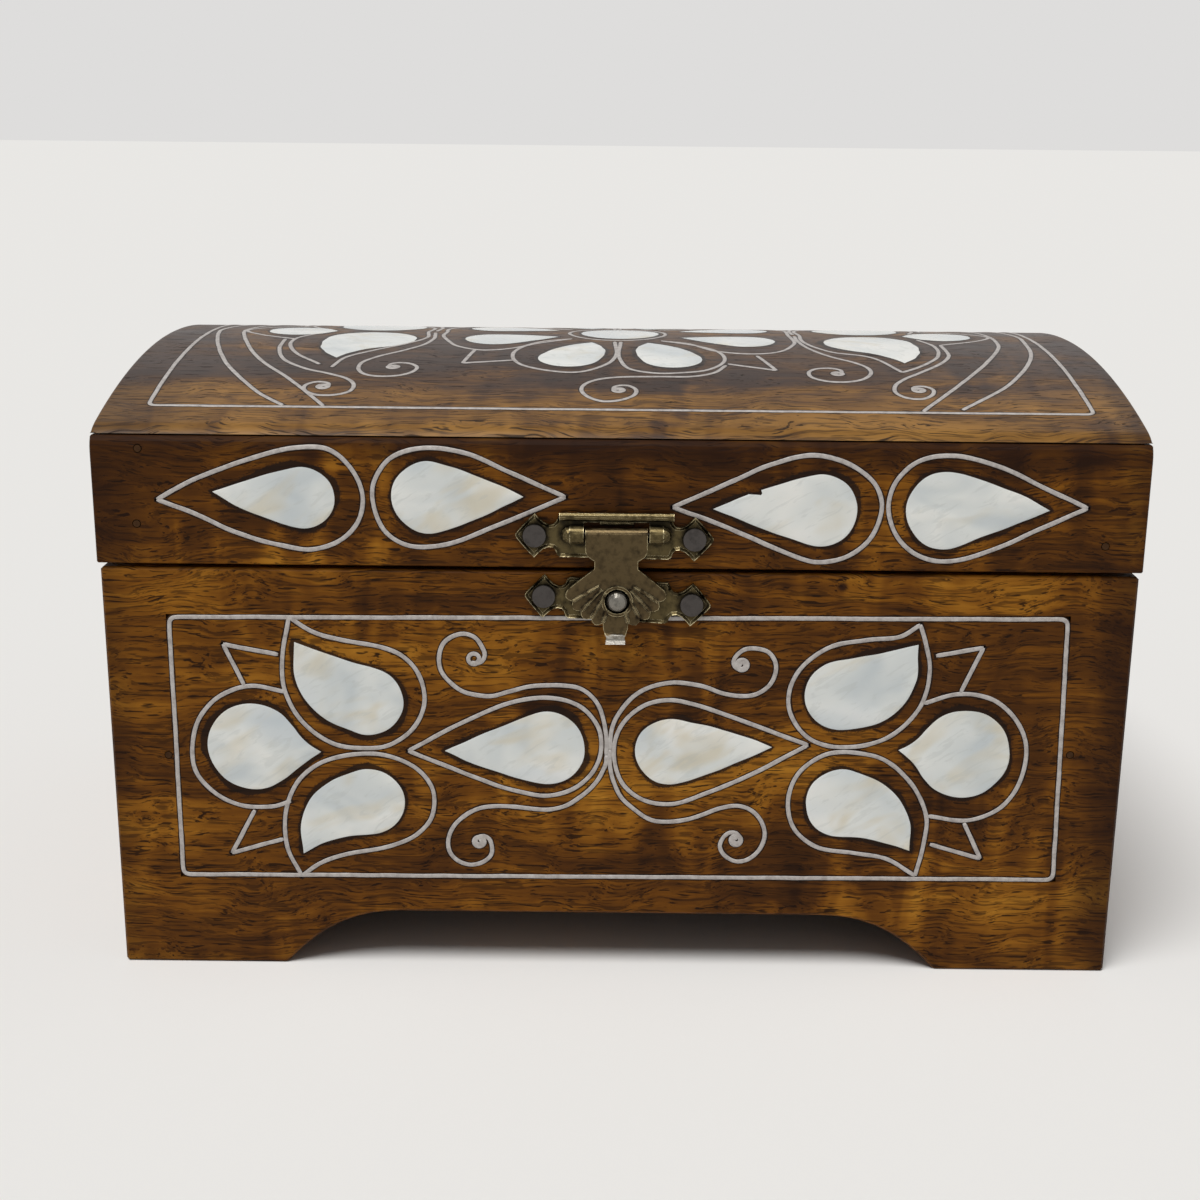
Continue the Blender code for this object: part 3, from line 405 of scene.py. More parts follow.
class Graph:
    """Short calls for wiring a material: a socket given as a value is linked, anything else is set."""

    def __init__(self, name):
        self.mat = bpy.data.materials.new(name)
        self.mat.use_nodes = True
        self.tree = self.mat.node_tree
        self.bsdf = self.tree.nodes["Principled BSDF"]

    def put(self, socket, value):
        if isinstance(value, bpy.types.NodeSocket):
            self.tree.links.new(value, socket)
        else:
            socket.default_value = value

    def add(self, kind, values=(), **props):
        node = self.tree.nodes.new(kind)
        for key, value in props.items():
            setattr(node, key, value)
        for key, value in dict(values).items():
            self.put(node.inputs[key], value)
        return node

    def math(self, op, a, b):
        return self.add("ShaderNodeMath", {0: a, 1: b}, operation=op).outputs[0]

    def ease(self, value, low, high, to_low=0.0, to_high=1.0):
        node = self.add("ShaderNodeMapRange", {0: value, 1: low, 2: high, 3: to_low, 4: to_high},
                        interpolation_type="SMOOTHSTEP")
        return node.outputs[0]

    def mix(self, share, a, b):
        node = self.add("ShaderNodeMix", data_type="RGBA")
        self.put(node.inputs[0], share)
        self.put(node.inputs[6], a)
        self.put(node.inputs[7], b)
        return node.outputs[2]

    def place(self):
        """The rest place of the surface in millimetres."""
        coords = self.add("ShaderNodeTexCoord").outputs["Object"]
        return self.add("ShaderNodeVectorMath", {0: coords, 3: 1 / MM}, operation="SCALE").outputs[0]

    def split(self, vector):
        return self.add("ShaderNodeSeparateXYZ", {0: vector}).outputs

    def stretch(self, vector, scale, shift=(0, 0, 0)):
        return self.add("ShaderNodeMapping", {"Vector": vector, "Scale": scale, "Location": shift}).outputs[0]

    def noise(self, vector, scale=1.0, detail=2.0, rough=0.5, warp=0.0):
        node = self.add("ShaderNodeTexNoise", {"Vector": vector, "Scale": scale, "Detail": detail,
                                               "Roughness": rough, "Distortion": warp})
        return node.outputs[0]

    def ramp(self, value, stops):
        node = self.add("ShaderNodeValToRGB", {0: value})
        band = node.color_ramp
        while len(band.elements) < len(stops):
            band.elements.new(0.5)
        for slot, (at, colour) in zip(band.elements, stops):
            slot.position = at
            slot.color = colour
        return node.outputs[0]

    def finish(self, **sockets):
        for key, value in sockets.items():
            self.put(self.bsdf.inputs[key.replace("_", " ")], value)
        return self.mat


FIGURE_LINE = srgb(38, 20, 7)
PORE = srgb(26, 14, 7)
SCORCHED = srgb(36, 18, 9)
CEMENT = srgb(30, 20, 15)
WALNUT = ((0.26, srgb(42, 22, 7)), (0.41, srgb(80, 46, 12)), (0.51, srgb(110, 66, 15)),
          (0.61, srgb(142, 91, 24)), (0.78, srgb(178, 122, 38)))
SMOKED = ((0.26, srgb(28, 16, 12)), (0.41, srgb(54, 33, 19)), (0.51, srgb(82, 54, 26)),
          (0.61, srgb(116, 80, 34)), (0.78, srgb(150, 108, 50)))


def walnut(name, grain, seed, edges=(), shades=WALNUT, tone=0.0, gloss=0.42, shine=0.08,
           pale=None, spots=()):
    """Walnut with wavy pores, growth streaks and flame figure across the grain.

    grain is the axis that the boards run along, and shades the ramp from dark to pale, which tone
    shifts. edges are (axis, place, reach, darkness) of the scorched and handled edges, pale is a
    lighter band of painted light where a face rolls over towards the lamp, (axis, place, reach,
    amount), and spots are small knots on the front, (x, height, radius). Places and reaches are in
    mm. gloss is the roughness of the varnish and shine its specular level.
    """
    g = Graph(name)
    place = g.place()
    axes = g.split(place)
    along = {"X": (1, 0, 0), "Y": (0, 1, 0)}[grain]

    def grained(lengthwise, crosswise, shift, start=place):
        scale = [lengthwise if a else crosswise for a in along]
        return g.stretch(start, scale, (shift + seed * 3.7, seed * 1.3, seed * 2.9))

    bend = g.math("MULTIPLY", g.noise(grained(0.05, 0.09, 3.0), 1.0, 2.0), 9.0)
    curl = g.math("MULTIPLY", g.noise(grained(0.15, 0.12, 7.0), 1.0, 1.0), 0.8)
    lift = g.math("ADD", bend, curl)
    lifted = g.add("ShaderNodeVectorMath", {0: place, 1: g.add("ShaderNodeCombineXYZ", {
        0: 0.0, 1: lift, 2: lift}).outputs[0]}, operation="ADD").outputs[0]

    broad = g.noise(grained(0.018, 0.075, 0.0, lifted), 1.0, 4.0, 0.55, 0.4)
    streak = g.noise(grained(0.035, 0.55, 11.0, lifted), 1.0, 5.0, 0.6, 0.3)
    fine = g.noise(grained(0.085, 2.0, 17.0, lifted), 1.0, 3.0, 0.6, 0.05)
    pores = g.noise(grained(0.17, 2.8, 29.0, lifted), 1.0, 2.0, 0.5, 0.15)
    flames = g.noise(grained(0.13, 0.035, 41.0), 1.0, 2.0, 0.5, 0.8)
    patch = g.noise(grained(0.022, 0.03, 53.0), 1.0, 1.0)

    shade = g.math("ADD", g.math("MULTIPLY", broad, 0.66), g.math("MULTIPLY", streak, 0.42))
    shade = g.math("ADD", shade, tone - 0.03)
    lively = g.math("MULTIPLY", g.ease(patch, 0.34, 0.58), 0.66)
    shade = g.math("ADD", shade, g.math("MULTIPLY", g.math("SUBTRACT", flames, 0.5), lively))
    wander = g.math("MULTIPLY", g.math("SUBTRACT", g.noise(place, 0.12, 3.0), 0.5), 7.0)
    # pale: a lighter band of painted light, where the face rolls over towards the lamp
    if pale:
        axis, at, reach, amount = pale
        gap = g.math("ABSOLUTE", g.math("SUBTRACT", axes["XYZ".index(axis)], at), 0.0)
        painted_light_band = g.ease(g.math("ADD", gap, wander), reach, reach * 1.6, amount, 0.0)
        shade = g.math("ADD", shade, painted_light_band)
    colour = g.ramp(shade, shades)
    colour = g.mix(g.ease(fine, 0.51, 0.59, 0.0, 0.58), colour, FIGURE_LINE)
    dash = g.ease(pores, 0.595, 0.65, 0.0, 0.85)
    colour = g.mix(dash, colour, PORE)

    burn = None
    for axis, at, reach, dark in edges:
        gap = g.math("ABSOLUTE", g.math("SUBTRACT", axes["XYZ".index(axis)], at), 0.0)
        one = g.ease(g.math("ADD", gap, wander), 0.0, reach, dark, 0.0)
        burn = one if burn is None else g.math("MAXIMUM", burn, one)
    for x, z, radius in spots:
        gap = g.add("ShaderNodeVectorMath", {0: place, 1: (x, FRONT_Y / MM, z)},
                    operation="DISTANCE").outputs[1]
        burn = g.math("MAXIMUM", burn, g.ease(gap, 0.3 * radius, radius, 0.9, 0.0))
    if burn is not None:
        colour = g.mix(burn, colour, SCORCHED)

    stain = g.add("ShaderNodeAttribute", attribute_name="stain", attribute_type="GEOMETRY").outputs["Fac"]
    rough_edge = g.math("MULTIPLY", g.math("SUBTRACT", g.noise(place, 3.2, 3.0, 0.65), 0.5), 1.3)
    soaked = g.math("MULTIPLY", g.math("GREATER_THAN", stain, 0.001),
                    g.ease(g.math("ADD", stain, rough_edge), 0.15, 0.75))
    colour = g.mix(g.math("MULTIPLY", soaked, 0.9), colour, CEMENT)

    height = g.math("SUBTRACT", g.math("MULTIPLY", fine, 0.25), dash)
    bump = g.add("ShaderNodeBump", {"Height": height, "Strength": 0.22, "Distance": 0.0002}).outputs[0]
    rough = g.math("ADD", g.math("MULTIPLY", dash, 0.2), g.ease(broad, 0.3, 0.7, gloss, gloss + 0.08))
    return g.finish(Base_Color=colour, Roughness=rough, Normal=bump, Specular_IOR_Level=shine)


def mother_of_pearl():
    """White shell with cream blotches, a breath of blue towards the rims and faint slanting growth lines."""
    g = Graph("mother_of_pearl_shell")
    place = g.place()
    clouds = g.noise(g.stretch(place, (0.075, 0.075, 0.11)), 1.0, 2.0, 0.5, 0.6)
    hue = g.noise(g.stretch(place, (0.05, 0.05, 0.07), (31, 7, 3)), 1.0, 1.0)
    turned = g.add("ShaderNodeVectorRotate", {"Vector": place, "Rotation": (0.0, 0.55, 0.4)},
                   rotation_type="EULER_XYZ").outputs[0]
    blotch = g.noise(g.stretch(turned, (0.07, 0.16, 0.2), (3, 17, 9)), 1.0, 2.0, 0.5, 0.5)
    lines = g.noise(g.stretch(turned, (0.10, 0.5, 0.9)), 1.0, 3.0, 0.6, 0.8)
    colour = g.ramp(clouds, ((0.32, srgb(199, 206, 208)), (0.46, srgb(216, 220, 218)),
                             (0.58, srgb(228, 230, 226)), (0.72, srgb(240, 239, 233))))
    colour = g.mix(g.ease(hue, 0.46, 0.34, 0.0, 0.26), colour, srgb(196, 207, 218))
    colour = g.mix(g.ease(blotch, 0.50, 0.74, 0.0, 0.55), colour, srgb(208, 194, 160))
    colour = g.mix(g.ease(lines, 0.53, 0.64, 0.0, 0.24), colour, srgb(184, 188, 184))
    waves = g.math("ADD", g.math("MULTIPLY", clouds, 6.0), g.math("MULTIPLY", lines, 0.5))
    bump = g.add("ShaderNodeBump", {"Height": waves, "Strength": 0.3, "Distance": 0.0002}).outputs[0]
    return g.finish(Base_Color=colour, Roughness=0.24, Normal=bump, Coat_Weight=0.35, Coat_Roughness=0.12,
                    Subsurface_Weight=0.12, Subsurface_Radius=(0.0008, 0.0009, 0.001), Subsurface_Scale=1.0)


def inlay_metal():
    """Soft pale metal wire, hammered flush and a little tarnished."""
    g = Graph("inlay_wire_metal")
    place = g.place()
    spots = g.noise(place, 1.1, 3.0, 0.6)
    colour = g.ramp(spots, ((0.30, srgb(158, 151, 147)), (0.50, srgb(180, 174, 170)),
                            (0.70, srgb(194, 189, 185))))
    bump = g.add("ShaderNodeBump", {"Height": g.noise(place, 2.6, 2.0), "Strength": 0.2,
                                    "Distance": 0.0002}).outputs[0]
    return g.finish(Base_Color=colour, Metallic=0.15, Roughness=0.55, Normal=bump)


def worn_metal(name, dark, mid, bright, rough=0.36, metal=0.9, edge=None, shine=0.5, tip=None):
    """Cast or stamped metal: dark in its hollows, bright where it is worn, brightest along its edges, from
    wear and a painted highlight.

    tip is a height in mm, and the colour of the bare metal below it.
    """
    g = Graph(name)
    place = g.place()
    hollow = g.add("ShaderNodeAmbientOcclusion", {"Distance": 0.0012}, samples=8).outputs["AO"]
    spots = g.noise(place, 0.9, 4.0, 0.6)
    shade = g.math("ADD", g.math("MULTIPLY", hollow, 0.62), g.math("MULTIPLY", spots, 0.66))
    colour = g.ramp(shade, ((0.35, dark), (0.72, mid), (0.98, bright)))
    # Painted highlight along the rims, laid over real wear: the edge colour goes where the softened normal
    # turns from the flat one.
    if edge:
        soft = g.add("ShaderNodeBevel", {"Radius": 0.00018}, samples=6).outputs[0]
        flat = g.add("ShaderNodeNewGeometry").outputs["Normal"]
        turned = g.add("ShaderNodeVectorMath", {0: soft, 1: flat}, operation="DOT_PRODUCT").outputs[1]
        worn_edge_glint = g.math("MULTIPLY", g.ease(turned, 0.99, 0.93), g.ease(spots, 0.40, 0.55))
        colour = g.mix(g.math("MULTIPLY", worn_edge_glint, g.ease(hollow, 0.45, 0.75)), colour, edge)
    if tip:
        below = g.math("ADD", g.split(place)[2], g.math("MULTIPLY", g.math("SUBTRACT", spots, 0.5), 1.2))
        colour = g.mix(g.ease(below, tip[0], tip[0] - 0.3, 0.0, 0.9), colour, tip[1])
    bump = g.add("ShaderNodeBump", {"Height": g.noise(place, 2.4, 3.0), "Strength": 0.18,
                                    "Distance": 0.0002}).outputs[0]
    gloss = g.ease(spots, 0.35, 0.65, rough - 0.08, rough + 0.12)
    return g.finish(Base_Color=colour, Metallic=metal, Roughness=gloss, Normal=bump, Specular_IOR_Level=shine)


# Places of edges in mm, for the scorched and handled rims of the boards
HALF_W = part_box("front_board")[1].x / MM
LID_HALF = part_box("lid_front_board")[1].x / MM
LID_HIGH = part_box("lid_front_board")[1].z / MM
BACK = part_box("back_board")[1].y / MM
FRONT = FRONT_Y / MM

SIDES = (("X", HALF_W, 9.0, 0.75), ("X", -HALF_W, 6.0, 0.45))
FRONT_WOOD = walnut("walnut_front", "X", 1.0, (*SIDES, ("Z", 0.0, 5.0, 0.4)), spots=((34.4, 64.4, 1.1),))
LID_WOOD = walnut("walnut_lid_front", "X", 2.0,
                  (("X", LID_HALF, 10.0, 0.6), ("X", -LID_HALF, 14.0, 0.6), ("Z", LID_HIGH, 6.0, 0.75)),
                  tone=-0.05)
# The pale band along the dome's front edge is painted light, where the board rolls over towards the lamp.
DOME_WOOD = walnut("walnut_dome", "X", 3.0,
                   (("X", LID_HALF, 8.0, 0.5), ("X", -LID_HALF, 24.0, 0.6)), shades=SMOKED, tone=-0.05,
                   gloss=0.36, shine=0.16, pale=("Y", LID_Y / MM, 12.0, 0.17))
BACK_WOOD = walnut("walnut_back", "X", 4.0, (*SIDES, ("Z", 0.0, 7.0, 0.5)))
END_WOOD = walnut("walnut_ends", "Y", 5.0,
                  (("Y", FRONT, 8.0, 0.6), ("Y", BACK, 8.0, 0.6), ("Z", 0.0, 7.0, 0.5)))
# Painted shade: the bottom is made near black so that the space under the box goes as dark as deep shade.
BOTTOM_WOOD_PAINTED_SHADE = walnut("walnut_bottom_painted_shade", "X", 6.0, shades=SMOKED, tone=-0.15)
SHELL = mother_of_pearl()
WIRE = inlay_metal()
# Edge colours of the brass, the flap and the stud: worn metal and a painted highlight along the rims.
BRASS = worn_metal("antique_brass_worn", srgb(7, 5, 3), srgb(31, 26, 15), srgb(92, 80, 52),
                   edge=srgb(214, 200, 158))
FLAP_METAL = worn_metal("antique_brass_flap", srgb(7, 5, 3), srgb(33, 26, 16), srgb(88, 74, 50),
                        edge=srgb(196, 182, 142),
                        tip=(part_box("hasp_flap")[0].z / MM + 1.3, srgb(146, 143, 136)))
DARK_NAIL = worn_metal("dark_nail_head", srgb(16, 14, 13), srgb(40, 36, 34), srgb(74, 69, 66),
                       rough=0.5, metal=0.6)
BOARD_NAIL = worn_metal("board_nail_filled", srgb(24, 14, 8), srgb(46, 29, 17), srgb(70, 48, 30),
                        rough=0.7, metal=0.0, shine=0.05)
STUD = worn_metal("stud_nickel", srgb(26, 24, 21), srgb(64, 61, 56), srgb(132, 128, 120),
                  rough=0.3, edge=srgb(190, 186, 176))

LOOKS = {
    "front_board": FRONT_WOOD, "back_board": BACK_WOOD, "left_end_board": END_WOOD,
    "right_end_board": END_WOOD, "bottom_panel": BOTTOM_WOOD_PAINTED_SHADE, "lid_front_board": LID_WOOD,
    "lid_back_board": BACK_WOOD, "lid_left_end_board": END_WOOD, "lid_right_end_board": END_WOOD,
    "lid_top_board": DOME_WOOD, "hasp_stud": STUD, "hasp_flap": FLAP_METAL,
}


def look_of(node):
    if node in LOOKS:
        return LOOKS[node]
    if node.startswith("pearl"):
        return SHELL
    if node.endswith("border_wire"):
        return WIRE
    if "nail" in node:
        return DARK_NAIL if "plate" in node else BOARD_NAIL
    return BRASS


for node_name, node_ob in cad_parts.items():
    node_ob.data.materials.clear()
    node_ob.data.materials.append(look_of(node_name))
    node_ob.data.shade_smooth()
    node_ob.data.set_sharp_from_angle(angle=SHARP_ANGLE)


# Wire drawings
FRONT_BORDER = ((-69.7, 58.5), (69.4, 59.6), (70.4, 16.1), (-69.7, 15.4))
FRONT_STROKES = (
    # leaves, round petals and drops, left then right
    ((-51.1, 58.7), (-52.4, 51.7), (-52.1, 46.5), (-49.7, 41.7), (-45.3, 38.2), (-40.9, 37.3),
     (-36.4, 37.7), (-32.3, 40.5), (-30.3, 44.9), (-31.0, 49.3), (-33.5, 52.5), (-37.1, 54.0),
     (-43.7, 55.2), (-47.6, 56.4), (-51.1, 58.7)),
    ((-50.6, 15.3), (-52.8, 20.5), (-52.7, 26.7), (-50.6, 31.6), (-46.6, 34.9), (-40.9, 36.3),
     (-35.8, 35.9), (-31.3, 33.6), (-29.1, 30.0), (-29.5, 25.7), (-32.1, 22.6), (-36.1, 20.7),
     (-43.6, 19.1), (-47.7, 17.5), (-50.6, 15.3)),
    ((-52.1, 46.5), (-57.4, 47.4), (-61.9, 46.0), (-65.4, 42.7), (-67.1, 38.0), (-66.8, 33.2),
     (-64.1, 29.6), (-59.9, 27.4), (-54.8, 27.3), (-51.9, 28.2)),
    ((-33.0, 36.9), (-25.6, 41.1), (-17.1, 45.0), (-10.9, 46.0), (-5.9, 44.6), (-3.0, 41.1), (-2.6, 36.9),
     (-4.1, 33.3), (-6.9, 30.8), (-10.9, 29.6), (-17.2, 30.7), (-25.7, 33.9), (-33.0, 36.9)),
    ((46.7, 58.5), (43.8, 56.6), (38.5, 55.9), (33.3, 54.9), (29.2, 52.1), (27.0, 48.3), (27.1, 43.9),
     (29.7, 40.1), (33.4, 38.5), (38.8, 38.6), (43.6, 40.6), (47.5, 45.4), (48.6, 51.0), (47.7, 55.4),
     (46.7, 58.5)),
    ((48.2, 16.5), (49.3, 22.2), (49.4, 26.8), (47.0, 31.9), (42.5, 36.1), (37.6, 37.4), (32.9, 37.0),
     (28.7, 33.7), (27.3, 29.1), (28.4, 24.5), (32.2, 21.3), (38.5, 20.3), (43.4, 19.4), (48.2, 16.5)),
    ((48.0, 45.7), (53.3, 47.3), (58.7, 46.4), (62.6, 43.0), (64.5, 38.6), (63.9, 32.8), (61.2, 28.5),
     (56.4, 26.2), (49.7, 26.8)),
    ((30.1, 38.6), (21.2, 41.9), (12.1, 45.1), (7.9, 45.8), (3.7, 44.6), (0.4, 41.1), (-0.5, 36.6),
     (0.8, 32.0), (3.9, 29.2), (8.9, 28.4), (14.2, 30.3), (21.4, 33.6), (30.1, 38.6)),
    # spikes
    ((-58.5, 47.5), (-61.5, 54.2)), ((-61.5, 54.2), (-53.0, 52.6)),
    ((-57.7, 26.6), (-61.7, 19.2)), ((-61.7, 19.2), (-53.3, 21.7)),
    ((49.4, 53.5), (56.7, 54.9)), ((56.7, 54.9), (53.6, 47.6)),
    ((50.3, 22.0), (58.5, 19.6)), ((58.5, 19.6), (55.5, 25.7)),
)
# Scrolls: eye, winding (1 left, -1 right), whether the eye is filled, and the line up to the eye
FRONT_SCROLLS = (
    ((-22.5, 52.2), -1, False,
     ((-1.7, 36.5), (-1.7, 39.3), (-2.1, 41.8), (-2.9, 44.6), (-4.2, 46.4), (-5.9, 47.6), (-8.4, 48.0),
      (-11.2, 48.0), (-14.3, 47.7), (-16.9, 47.0), (-19.6, 46.2), (-21.9, 46.3), (-24.5, 47.0),
      (-26.6, 48.7), (-27.7, 50.5), (-27.9, 52.7), (-27.3, 54.6), (-25.9, 55.8), (-24.0, 56.3),
      (-22.3, 55.7), (-21.2, 54.1))),
    ((-21.9, 21.6), 1, True,
     ((-1.7, 36.5), (-1.7, 35.2), (-2.2, 33.9), (-2.9, 32.5), (-4.3, 30.8), (-6.0, 29.3), (-8.1, 27.9),
      (-10.4, 27.3), (-13.1, 27.3), (-16.2, 27.6), (-19.3, 27.7), (-21.7, 27.4), (-24.0, 26.2),
      (-25.9, 24.3), (-26.9, 21.8), (-26.6, 19.7), (-25.4, 18.3), (-23.3, 17.6), (-21.3, 18.1),
      (-20.0, 19.4), (-19.9, 21.0))),
    ((19.3, 51.7), 1, True,
     ((-1.1, 37.4), (-0.9, 40.8), (0.4, 43.8), (2.4, 46.3), (5.1, 47.9), (8.3, 48.7), (11.1, 48.5),
      (13.8, 48.0), (16.5, 47.0), (19.1, 46.6), (21.4, 46.8), (23.6, 48.3), (24.5, 50.1), (24.5, 52.1),
      (23.4, 53.8), (21.3, 54.4), (19.6, 54.2), (18.4, 53.2))),
    ((19.2, 22.3), -1, True,
     ((-1.1, 37.4), (-1.1, 34.9), (-0.6, 32.5), (0.7, 29.6), (3.1, 27.2), (5.8, 25.6), (8.5, 25.4),
      (11.2, 25.8), (13.9, 26.7), (16.6, 27.8), (19.3, 28.2), (21.6, 27.4), (23.2, 25.5), (23.8, 23.0),
      (23.0, 20.7), (21.1, 19.0), (19.2, 18.7), (17.4, 19.8), (16.7, 21.3), (17.3, 22.9))),
)
LID_STROKES = (
    ((-70.4, 77.1), (-64.7, 80.2), (-55.7, 83.6), (-49.4, 85.2), (-44.2, 85.1), (-40.6, 82.0),
     (-39.1, 77.9), (-39.8, 74.2), (-42.5, 71.2), (-46.8, 69.6), (-52.0, 70.2), (-58.8, 72.2),
     (-65.0, 75.1), (-70.4, 77.1)),
    ((-8.3, 78.1), (-16.7, 81.8), (-23.4, 84.7), (-29.7, 85.4), (-34.8, 83.8), (-37.4, 80.0), (-37.4, 76.3),
     (-35.6, 72.3), (-32.0, 70.3), (-26.7, 70.5), (-19.4, 73.3), (-8.3, 78.1)),
    ((8.0, 76.7), (16.5, 80.6), (23.2, 83.6), (29.6, 84.9), (34.9, 83.4), (38.6, 80.4), (39.7, 77.0),
     (38.3, 72.3), (34.6, 69.2), (30.0, 68.4), (24.5, 70.2), (16.5, 73.6), (8.0, 76.7)),
    ((70.9, 77.2), (65.1, 79.8), (57.2, 83.4), (50.5, 85.0), (45.0, 84.2), (41.6, 80.9), (40.7, 76.9),
     (42.3, 72.4), (45.8, 69.5), (50.2, 68.7), (56.5, 70.4), (64.5, 74.2), (70.9, 77.2)),
)
TOP_BORDER = ((-73.1, 8.44), (73.1, 8.44))
# Arcs that run from the front border over to the back border
TOP_ARCS = (
    ((-52.4, 8.9), (-56.8, 13.3), (-61.7, 20.9), (-65.3, 28.2), (-68.5, 38.1), (-70.4, 46.2), (-71.6, 53.7)),
    ((-46.1, 8.8), (-53.4, 19.8), (-60.0, 29.9), (-65.2, 44.4), (-67.2, 53.7)),
    ((46.8, 8.9), (53.9, 19.0), (60.1, 29.7), (65.4, 43.0), (66.5, 53.7)),
    ((53.0, 9.6), (60.4, 17.4), (64.0, 22.8), (67.9, 31.2), (70.0, 38.5), (71.1, 48.4), (71.6, 53.7)),
)
# Front half of the dome; the back half is its mirror image
TOP_STROKES = (
    ((-8.5, 47.8), (-16.2, 40.6), (-18.1, 33.7), (-16.4, 27.9), (-11.5, 24.7), (-6.8, 24.2), (-2.4, 28.4),
     (-0.8, 33.7), (-0.9, 45.1)),
    ((0.1, 45.1), (-0.1, 32.1), (1.6, 26.0), (5.8, 24.0), (10.3, 24.4), (14.2, 25.9), (17.2, 30.6),
     (16.9, 36.6), (14.1, 41.2), (7.2, 46.6)),
    ((-31.0, 55.2), (-31.2, 50.0), (-30.1, 45.4), (-27.9, 40.0), (-23.5, 37.0), (-18.2, 38.8),
     (-13.4, 44.9), (-8.8, 47.8)),
    ((7.2, 46.6), (11.6, 44.2), (16.1, 38.0), (22.5, 36.1), (27.0, 37.8), (30.3, 44.9), (30.4, 50.9),
     (30.2, 55.2)),
    ((-24.7, 37.0), (-26.1, 28.4)), ((-26.1, 28.4), (-17.7, 30.5)),
    ((17.8, 29.4), (25.5, 26.0)), ((25.5, 26.0), (23.0, 34.7)),
    ((-49.5, 27.0), (-54.2, 33.2), (-56.6, 40.3), (-56.4, 45.9), (-53.2, 52.2)),
    ((-34.4, 55.2), (-34.0, 47.3), (-37.1, 41.3), (-41.5, 36.3), (-45.7, 31.3), (-47.3, 25.5)),
    ((-56.5, 44.9), (-62.9, 48.9), (-66.3, 53.0), (-67.0, 55.2)),
    ((55.7, 44.9), (62.1, 48.9), (65.5, 53.0), (66.2, 55.2)),
    ((32.2, 55.2), (32.2, 46.0), (35.8, 38.2), (41.8, 34.8), (46.1, 25.6)),
    ((46.1, 25.6), (49.4, 28.7), (53.5, 35.2), (54.4, 43.3), (52.6, 50.5)),
)
TOP_SCROLLS = (
    ((-0.4, 16.0), 1, True,
     ((17.4, 28.5), (15.2, 24.4), (11.6, 22.5), (5.9, 22.2), (0.3, 21.9), (-3.7, 20.6), (-5.8, 18.2),
      (-6.2, 15.6), (-5.0, 13.0), (-2.8, 11.5), (-0.1, 12.0), (2.1, 14.0), (2.4, 16.2), (1.2, 17.9))),
    ((-47.3, 16.3), -1, True,
     ((-58.3, 44.8), (-57.8, 36.3), (-55.5, 29.1), (-51.4, 24.6), (-47.5, 22.3), (-44.0, 19.9),
      (-42.5, 17.0), (-42.9, 14.3), (-45.1, 12.9), (-47.8, 12.9), (-49.9, 14.6), (-50.1, 16.8),
      (-48.8, 18.2))),
    ((-37.3, 25.9), 1, True,
     ((-33.0, 53.9), (-32.6, 46.3), (-34.0, 40.4), (-37.2, 35.6), (-40.6, 31.8), (-42.7, 28.0),
      (-42.8, 24.6), (-41.5, 22.2), (-39.3, 21.2), (-36.2, 21.5), (-34.0, 23.2), (-33.3, 25.8),
      (-34.6, 27.8))),
    ((35.4, 24.6), -1, True,
     ((31.2, 53.9), (31.2, 47.0), (32.4, 40.6), (35.3, 34.8), (38.7, 31.2), (40.6, 28.2), (40.9, 25.0),
      (39.2, 21.9), (36.4, 20.6), (33.2, 20.8), (31.0, 22.7), (30.8, 25.3), (32.2, 27.1))),
    ((47.4, 17.2), 1, True,
     ((55.7, 44.9), (55.5, 36.0), (53.4, 31.0), (49.4, 26.0), (45.7, 21.9), (43.9, 18.9), (43.6, 16.0),
      (45.0, 14.0), (47.4, 13.6), (49.3, 15.3), (49.7, 17.6), (48.7, 18.8))),
)


def ring_points(mid, radius, count=24):
    turns = [2 * math.pi * k / count for k in range(count + 1)]
    return [(mid[0] + radius * math.cos(t), mid[1] + radius * math.sin(t)) for t in turns]


TOP_RING = ring_points((-0.4, DOME_MID_MM), 8.6)


def with_eye(centre, hand, filled, points):
    """A scroll: its line, wound once round its eye, and on into the middle where the eye is filled."""
    far_x, far_y = points[-1][0] - centre[0], points[-1][1] - centre[1]
    far, start = math.hypot(far_x, far_y), math.atan2(far_y, far_x)
    out = list(points)
    for k in range(1, 24 if filled else 16):
        reach = far + (EYE_R - far) * min(1.0, k / 3)
        if k > 11:
            reach = EYE_R * (1 - 0.075 * (k - 11))
        turn = start + hand * k * EYE_TURN
        out.append((centre[0] + reach * math.cos(turn), centre[1] + reach * math.sin(turn)))
    return out


def rounded(corners):
    """A closed line through straight sides and bent corners, in metres."""
    spots = [Vector(c) for c in corners]
    out = []
    for k, c in enumerate(spots):
        last = (spots[k - 1] - c).normalized() * CORNER_R
        following = (spots[(k + 1) % len(spots)] - c).normalized() * CORNER_R
        out.append(c + last * 4)
        for t in (0.0, 0.25, 0.5, 0.75, 1.0):
            out.append(c + last * (1 - t) ** 2 + following * t ** 2)
        out.append(c + following * 4)
    return out


def metres(points):
    return [(x * MM, y * MM) for x, y in points]


def over_dome(points):
    """From the drawing's distance behind the front edge to the world depth."""
    return [(x * MM, LID_Y + y * MM) for x, y in points]


def far_side(points):
    """The mirror image at the back of the dome, in the drawing's millimetres."""
    return [(x, 2 * DOME_MID_MM - y) for x, y in points]


def top_strokes():
    for arc in TOP_ARCS:
        yield arc + tuple(reversed(far_side(arc)))
    yield TOP_RING
    for stroke in TOP_STROKES + tuple(with_eye(*scroll) for scroll in TOP_SCROLLS):
        yield stroke
        yield far_side(stroke)


